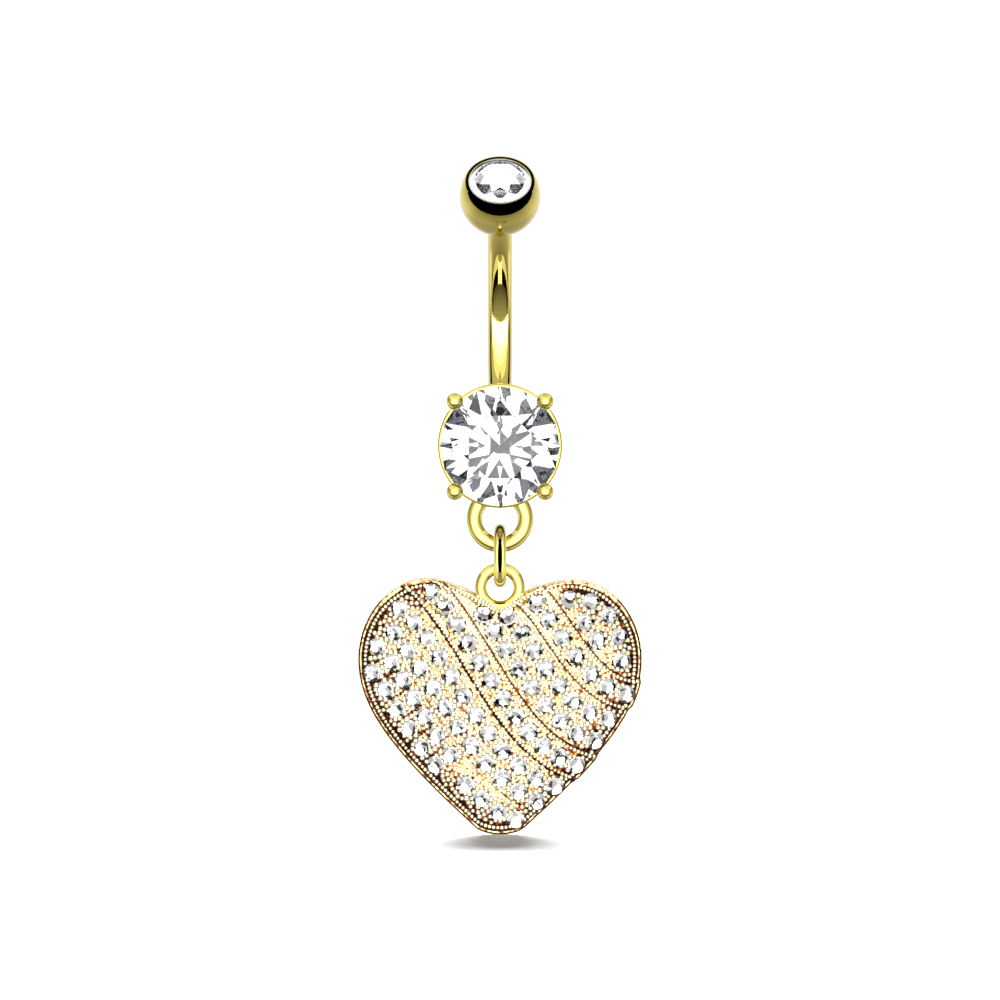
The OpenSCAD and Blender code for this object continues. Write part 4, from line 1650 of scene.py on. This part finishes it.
print("lamps before the first table:", lamp_count())

# %% [markdown]
# Both ends of the bar bend forwards, so its upper part faces low and its
# lower part high, and the dark front of the room shows as a long black
# spindle between. A narrow low panel draws a bright needle into the
# spindle's top. A stack of wide strips that grow brighter upwards fills its
# lower end with dull gold. Below it, high panels that overlap fade from
# white to gold.

# %% Lamps for the bar
BAR_AIM = Vector((0, 0, 0))
STRIP_EDGES = (-0.5, -0.36, -0.26, -0.16, -0.06, 0.04, 0.14, 0.25)
STRIP_FIRST, STRIP_MORE = 0.12, 0.07
panels([bar], BAR_AIM, [
    ("spindle", 0, 0, (-2.4, 2.4, bottom, top), STRIP_FIRST + STRIP_MORE * index)
    for index, (bottom, top) in enumerate(zip(STRIP_EDGES, STRIP_EDGES[1:]))])
panels([bar], BAR_AIM, [
    ("needle", 0, 0, (-0.36, 0.36, -2.4, -0.5), 2.2),
    ("lower_bright", 0, 0, (-6, 6, 0.25, 0.75), 5),
    ("lower_soft", 0, 0, (-6, 6, 0.25, 1.15), 2.5),
    ("lower_wide", 0, 0, (-6, 6, 0.25, 1.8), 0.9),
    ("lower_high", 0, 0, (-6, 6, 0.25, 6), 0.8),
    ("lower_over", 0, 75, (-4, 4, -0.6, 0.9), 0.8),
    ("below_front", 0, -52.6, (-6, 6, -0.14, 0.14), 1.3),
])
lean_with_border = Matrix.Rotation(BORDER_LEAN - math.pi / 2, 4, "X")
for side in (-1, 1):
    lamp = panel("bar_side", side * 90, 0, centred_span(0.6, 0.16), 0.7, [bar], BAR_AIM)
    lamp.rotation_euler = (lean_with_border @ lamp.rotation_euler.to_matrix().to_4x4()).to_euler()
print("lamps for the bar:", lamp_count())

# %% [markdown]
# The cup faces up and forwards, so its light comes from above: four panels,
# one over the other, fade towards their edges. The crystal's table and foil
# mirror two panels above it and a little behind, and pairs of small lamps
# light single facets. The ball gets one broad panel from behind.

# %% Lamps for the ball, its cup and the crystal
panels([cup], BALL_AT, [
    ("over_cup", 0, 66, centred_span(half, half), brightness)
    for half, brightness in ((0.9, 0.6), (1.15, 0.5), (1.45, 0.4), (1.8, 0.25))])
panels([crystal], BALL_AT, [
    ("over_crystal", 180, 62, centred_span(0.8, 0.8), 1.2),
    ("over_crystal_wide", 180, 53, centred_span(1.3, 1.2), 0.9),
    ("crystal_front", 0, 10, (-2, 2, -1, 1.5), 0.1),
])
panels([crystal], BALL_AT, [
    ("crystal_facet", side * azimuth, rise, centred_span(0.12, 0.12), 1.5)
    for azimuth, rise in ((14, 16), (42, 22), (22, 52), (73, 60)) for side in (-1, 1)])
panels([ball], BALL_AT, [("over_ball", 180, 55, (-2.2, 2.2, -0.35, 0.5), 0.7)])
print("lamps so far:", lamp_count())

# %% [markdown]
# Rings of wire mirror nearly the whole room, so the basket, its loop and the
# bail get large panels, one inside the other: the highlight fades towards its
# edges. The jump ring is seen edge on, as a short upright wire. The dark
# front of the room gives it a black needle down its middle, and lamps far out
# at both sides light the wire beside that.

# %% Lamps for the rings
panels([basket, bail], CAMERA_AIM, [
    ("rings_wide", 0, 8, (-2.6, 2.6, -1.5, 1.7), 0.95),
    ("rings_over", 0, 88, (-1.6, 1.6, -0.6, 1.2), 0.95),
    ("rings_soft", 0, 5, centred_span(1.0, 0.8), 1.6),
    ("rings_bright", 0, 3, centred_span(0.5, 0.45), 2.4),
])
for side in (-1, 1):
    panel("rings_side", side * 90, 0, centred_span(0.4, 3), 0.5, [basket, bail])
    panel("link_bright", side * 56, 0, centred_span(0.26, 1.1), 2.6, [link])
    panel("link_wide", side * 78, 0, centred_span(0.73, 2), 0.8, [link])
panel("link_over", 0, 98, (-1.5, 1.5, -0.45, 0.6), 0.3, [link])
print("lamps so far:", lamp_count())

# %% [markdown]
# The heart and the stones get large soft panels, one in front and one above,
# and a field of small lamps. A facet mirrors one small spot of the room, so
# many small lamps with dark between them make some facets flash and leave
# others dark, and that is what sparkle is.

# %% Lamps for the heart and the stones
panels([heart, beads], CAMERA_AIM, [
    ("heart_wide", 0, 5, (-1.2, 1.2, -2.2, 1.2), 0.9),
    ("heart_top", 0, 80, (-1.2, 1.2, -0.6, 1.4), 1.4),
])
panels([small_stones], CAMERA_AIM, [
    ("stones_top", 0, 62, (-1.1, 1.1, -0.4, 0.6), 1.9),
    ("stones_wide", 0, 0, centred_span(2.2, 1.8), 0.35),
])
panels([main_stone], CAMERA_AIM, [
    ("big_stone_top", 0, 75, (-0.8, 0.8, -0.3, 0.8), 0.8),
    ("big_stone_wide", 0, 0, centred_span(2.2, 1.8), 0.04),
])
spot = centred_span(0.17, 0.17)
for azimuth in (-60, -36, -12, 12, 36, 60):
    for rise in (-46, -22, 2, 26, 50):
        panel("heart_light", azimuth, rise, spot, 2.4, [heart, beads])
        panel("stone_light", azimuth + 6, rise - 4, spot, 3.6, [small_stones])
panels([main_stone], CAMERA_AIM, [
    ("big_stone_light", azimuth, rise, centred_span(0.16, 0.16), 1.8)
    for azimuth in (-56, -29, -4, 21, 51) for rise in (-27, 2, 25)])
print("lamps so far:", lamp_count())

# %% [markdown]
# The soft shadow under the heart comes from two broad suns behind it, one on
# each side, that reach only the floor. Neighbouring metal is hidden from
# mirrors, so that a piece shows its own lamps and not the piece beside it.

# %% Light on the floor
SUN_ENERGY = 9
SUN_BREADTH = math.radians(22)
SUN_RISE, SUN_ASIDE = math.radians(45), math.radians(40)
SUN_STAND = (0.2, 0.2, 0.3)  # metres aside, behind and up; only a sun's turn counts
for side in (-1, 1):
    floor_light = new_shape(bpy.ops.object.light_add, "floor_light", type="SUN",
                            location=(side * SUN_STAND[0], *SUN_STAND[1:]),
                            rotation=(-SUN_RISE, 0, -side * SUN_ASIDE))
    floor_light.data.energy = SUN_ENERGY
    floor_light.data.angle = SUN_BREADTH
    light_only(floor_light, [floor])
for piece in (ball, basket, heart, beads, small_stones):
    piece.visible_glossy = False
print("lamps:", lamp_count())

# %% [markdown]
# ## The camera
# The picture is a close view with a long lens, from nearly straight in front:
# the ring has almost no perspective. The camera stands as far off as that lens
# needs to take in 65 mm, and looks down by 3 degrees. Light has to bend and
# bounce many times inside a stone, so the bounces are many too.

# %% Camera
LENS = 250
SENSOR = 36
FRAME_WIDTH = 64.94 * MM
CAMERA_RISE = math.radians(3)
distance = FRAME_WIDTH * LENS / SENSOR
camera_at = CAMERA_AIM + distance * Vector((0, -math.cos(CAMERA_RISE), math.sin(CAMERA_RISE)))
camera = new_shape(bpy.ops.object.camera_add, "camera", location=camera_at,
                   rotation=(math.radians(90) - CAMERA_RISE, 0, 0))
camera.data.lens = LENS
camera.data.sensor_width = SENSOR
camera.data.clip_start = 0.01
camera.data.clip_end = 10
scene.camera = camera
scene.view_settings.view_transform = "Standard"
scene.view_settings.look = "None"
scene.cycles.max_bounces = 16
scene.cycles.glossy_bounces = 8
scene.cycles.transmission_bounces = 14
scene.cycles.transparent_max_bounces = 16
scene.cycles.use_denoising = True
print("camera, mm away:", in_mm([distance]))
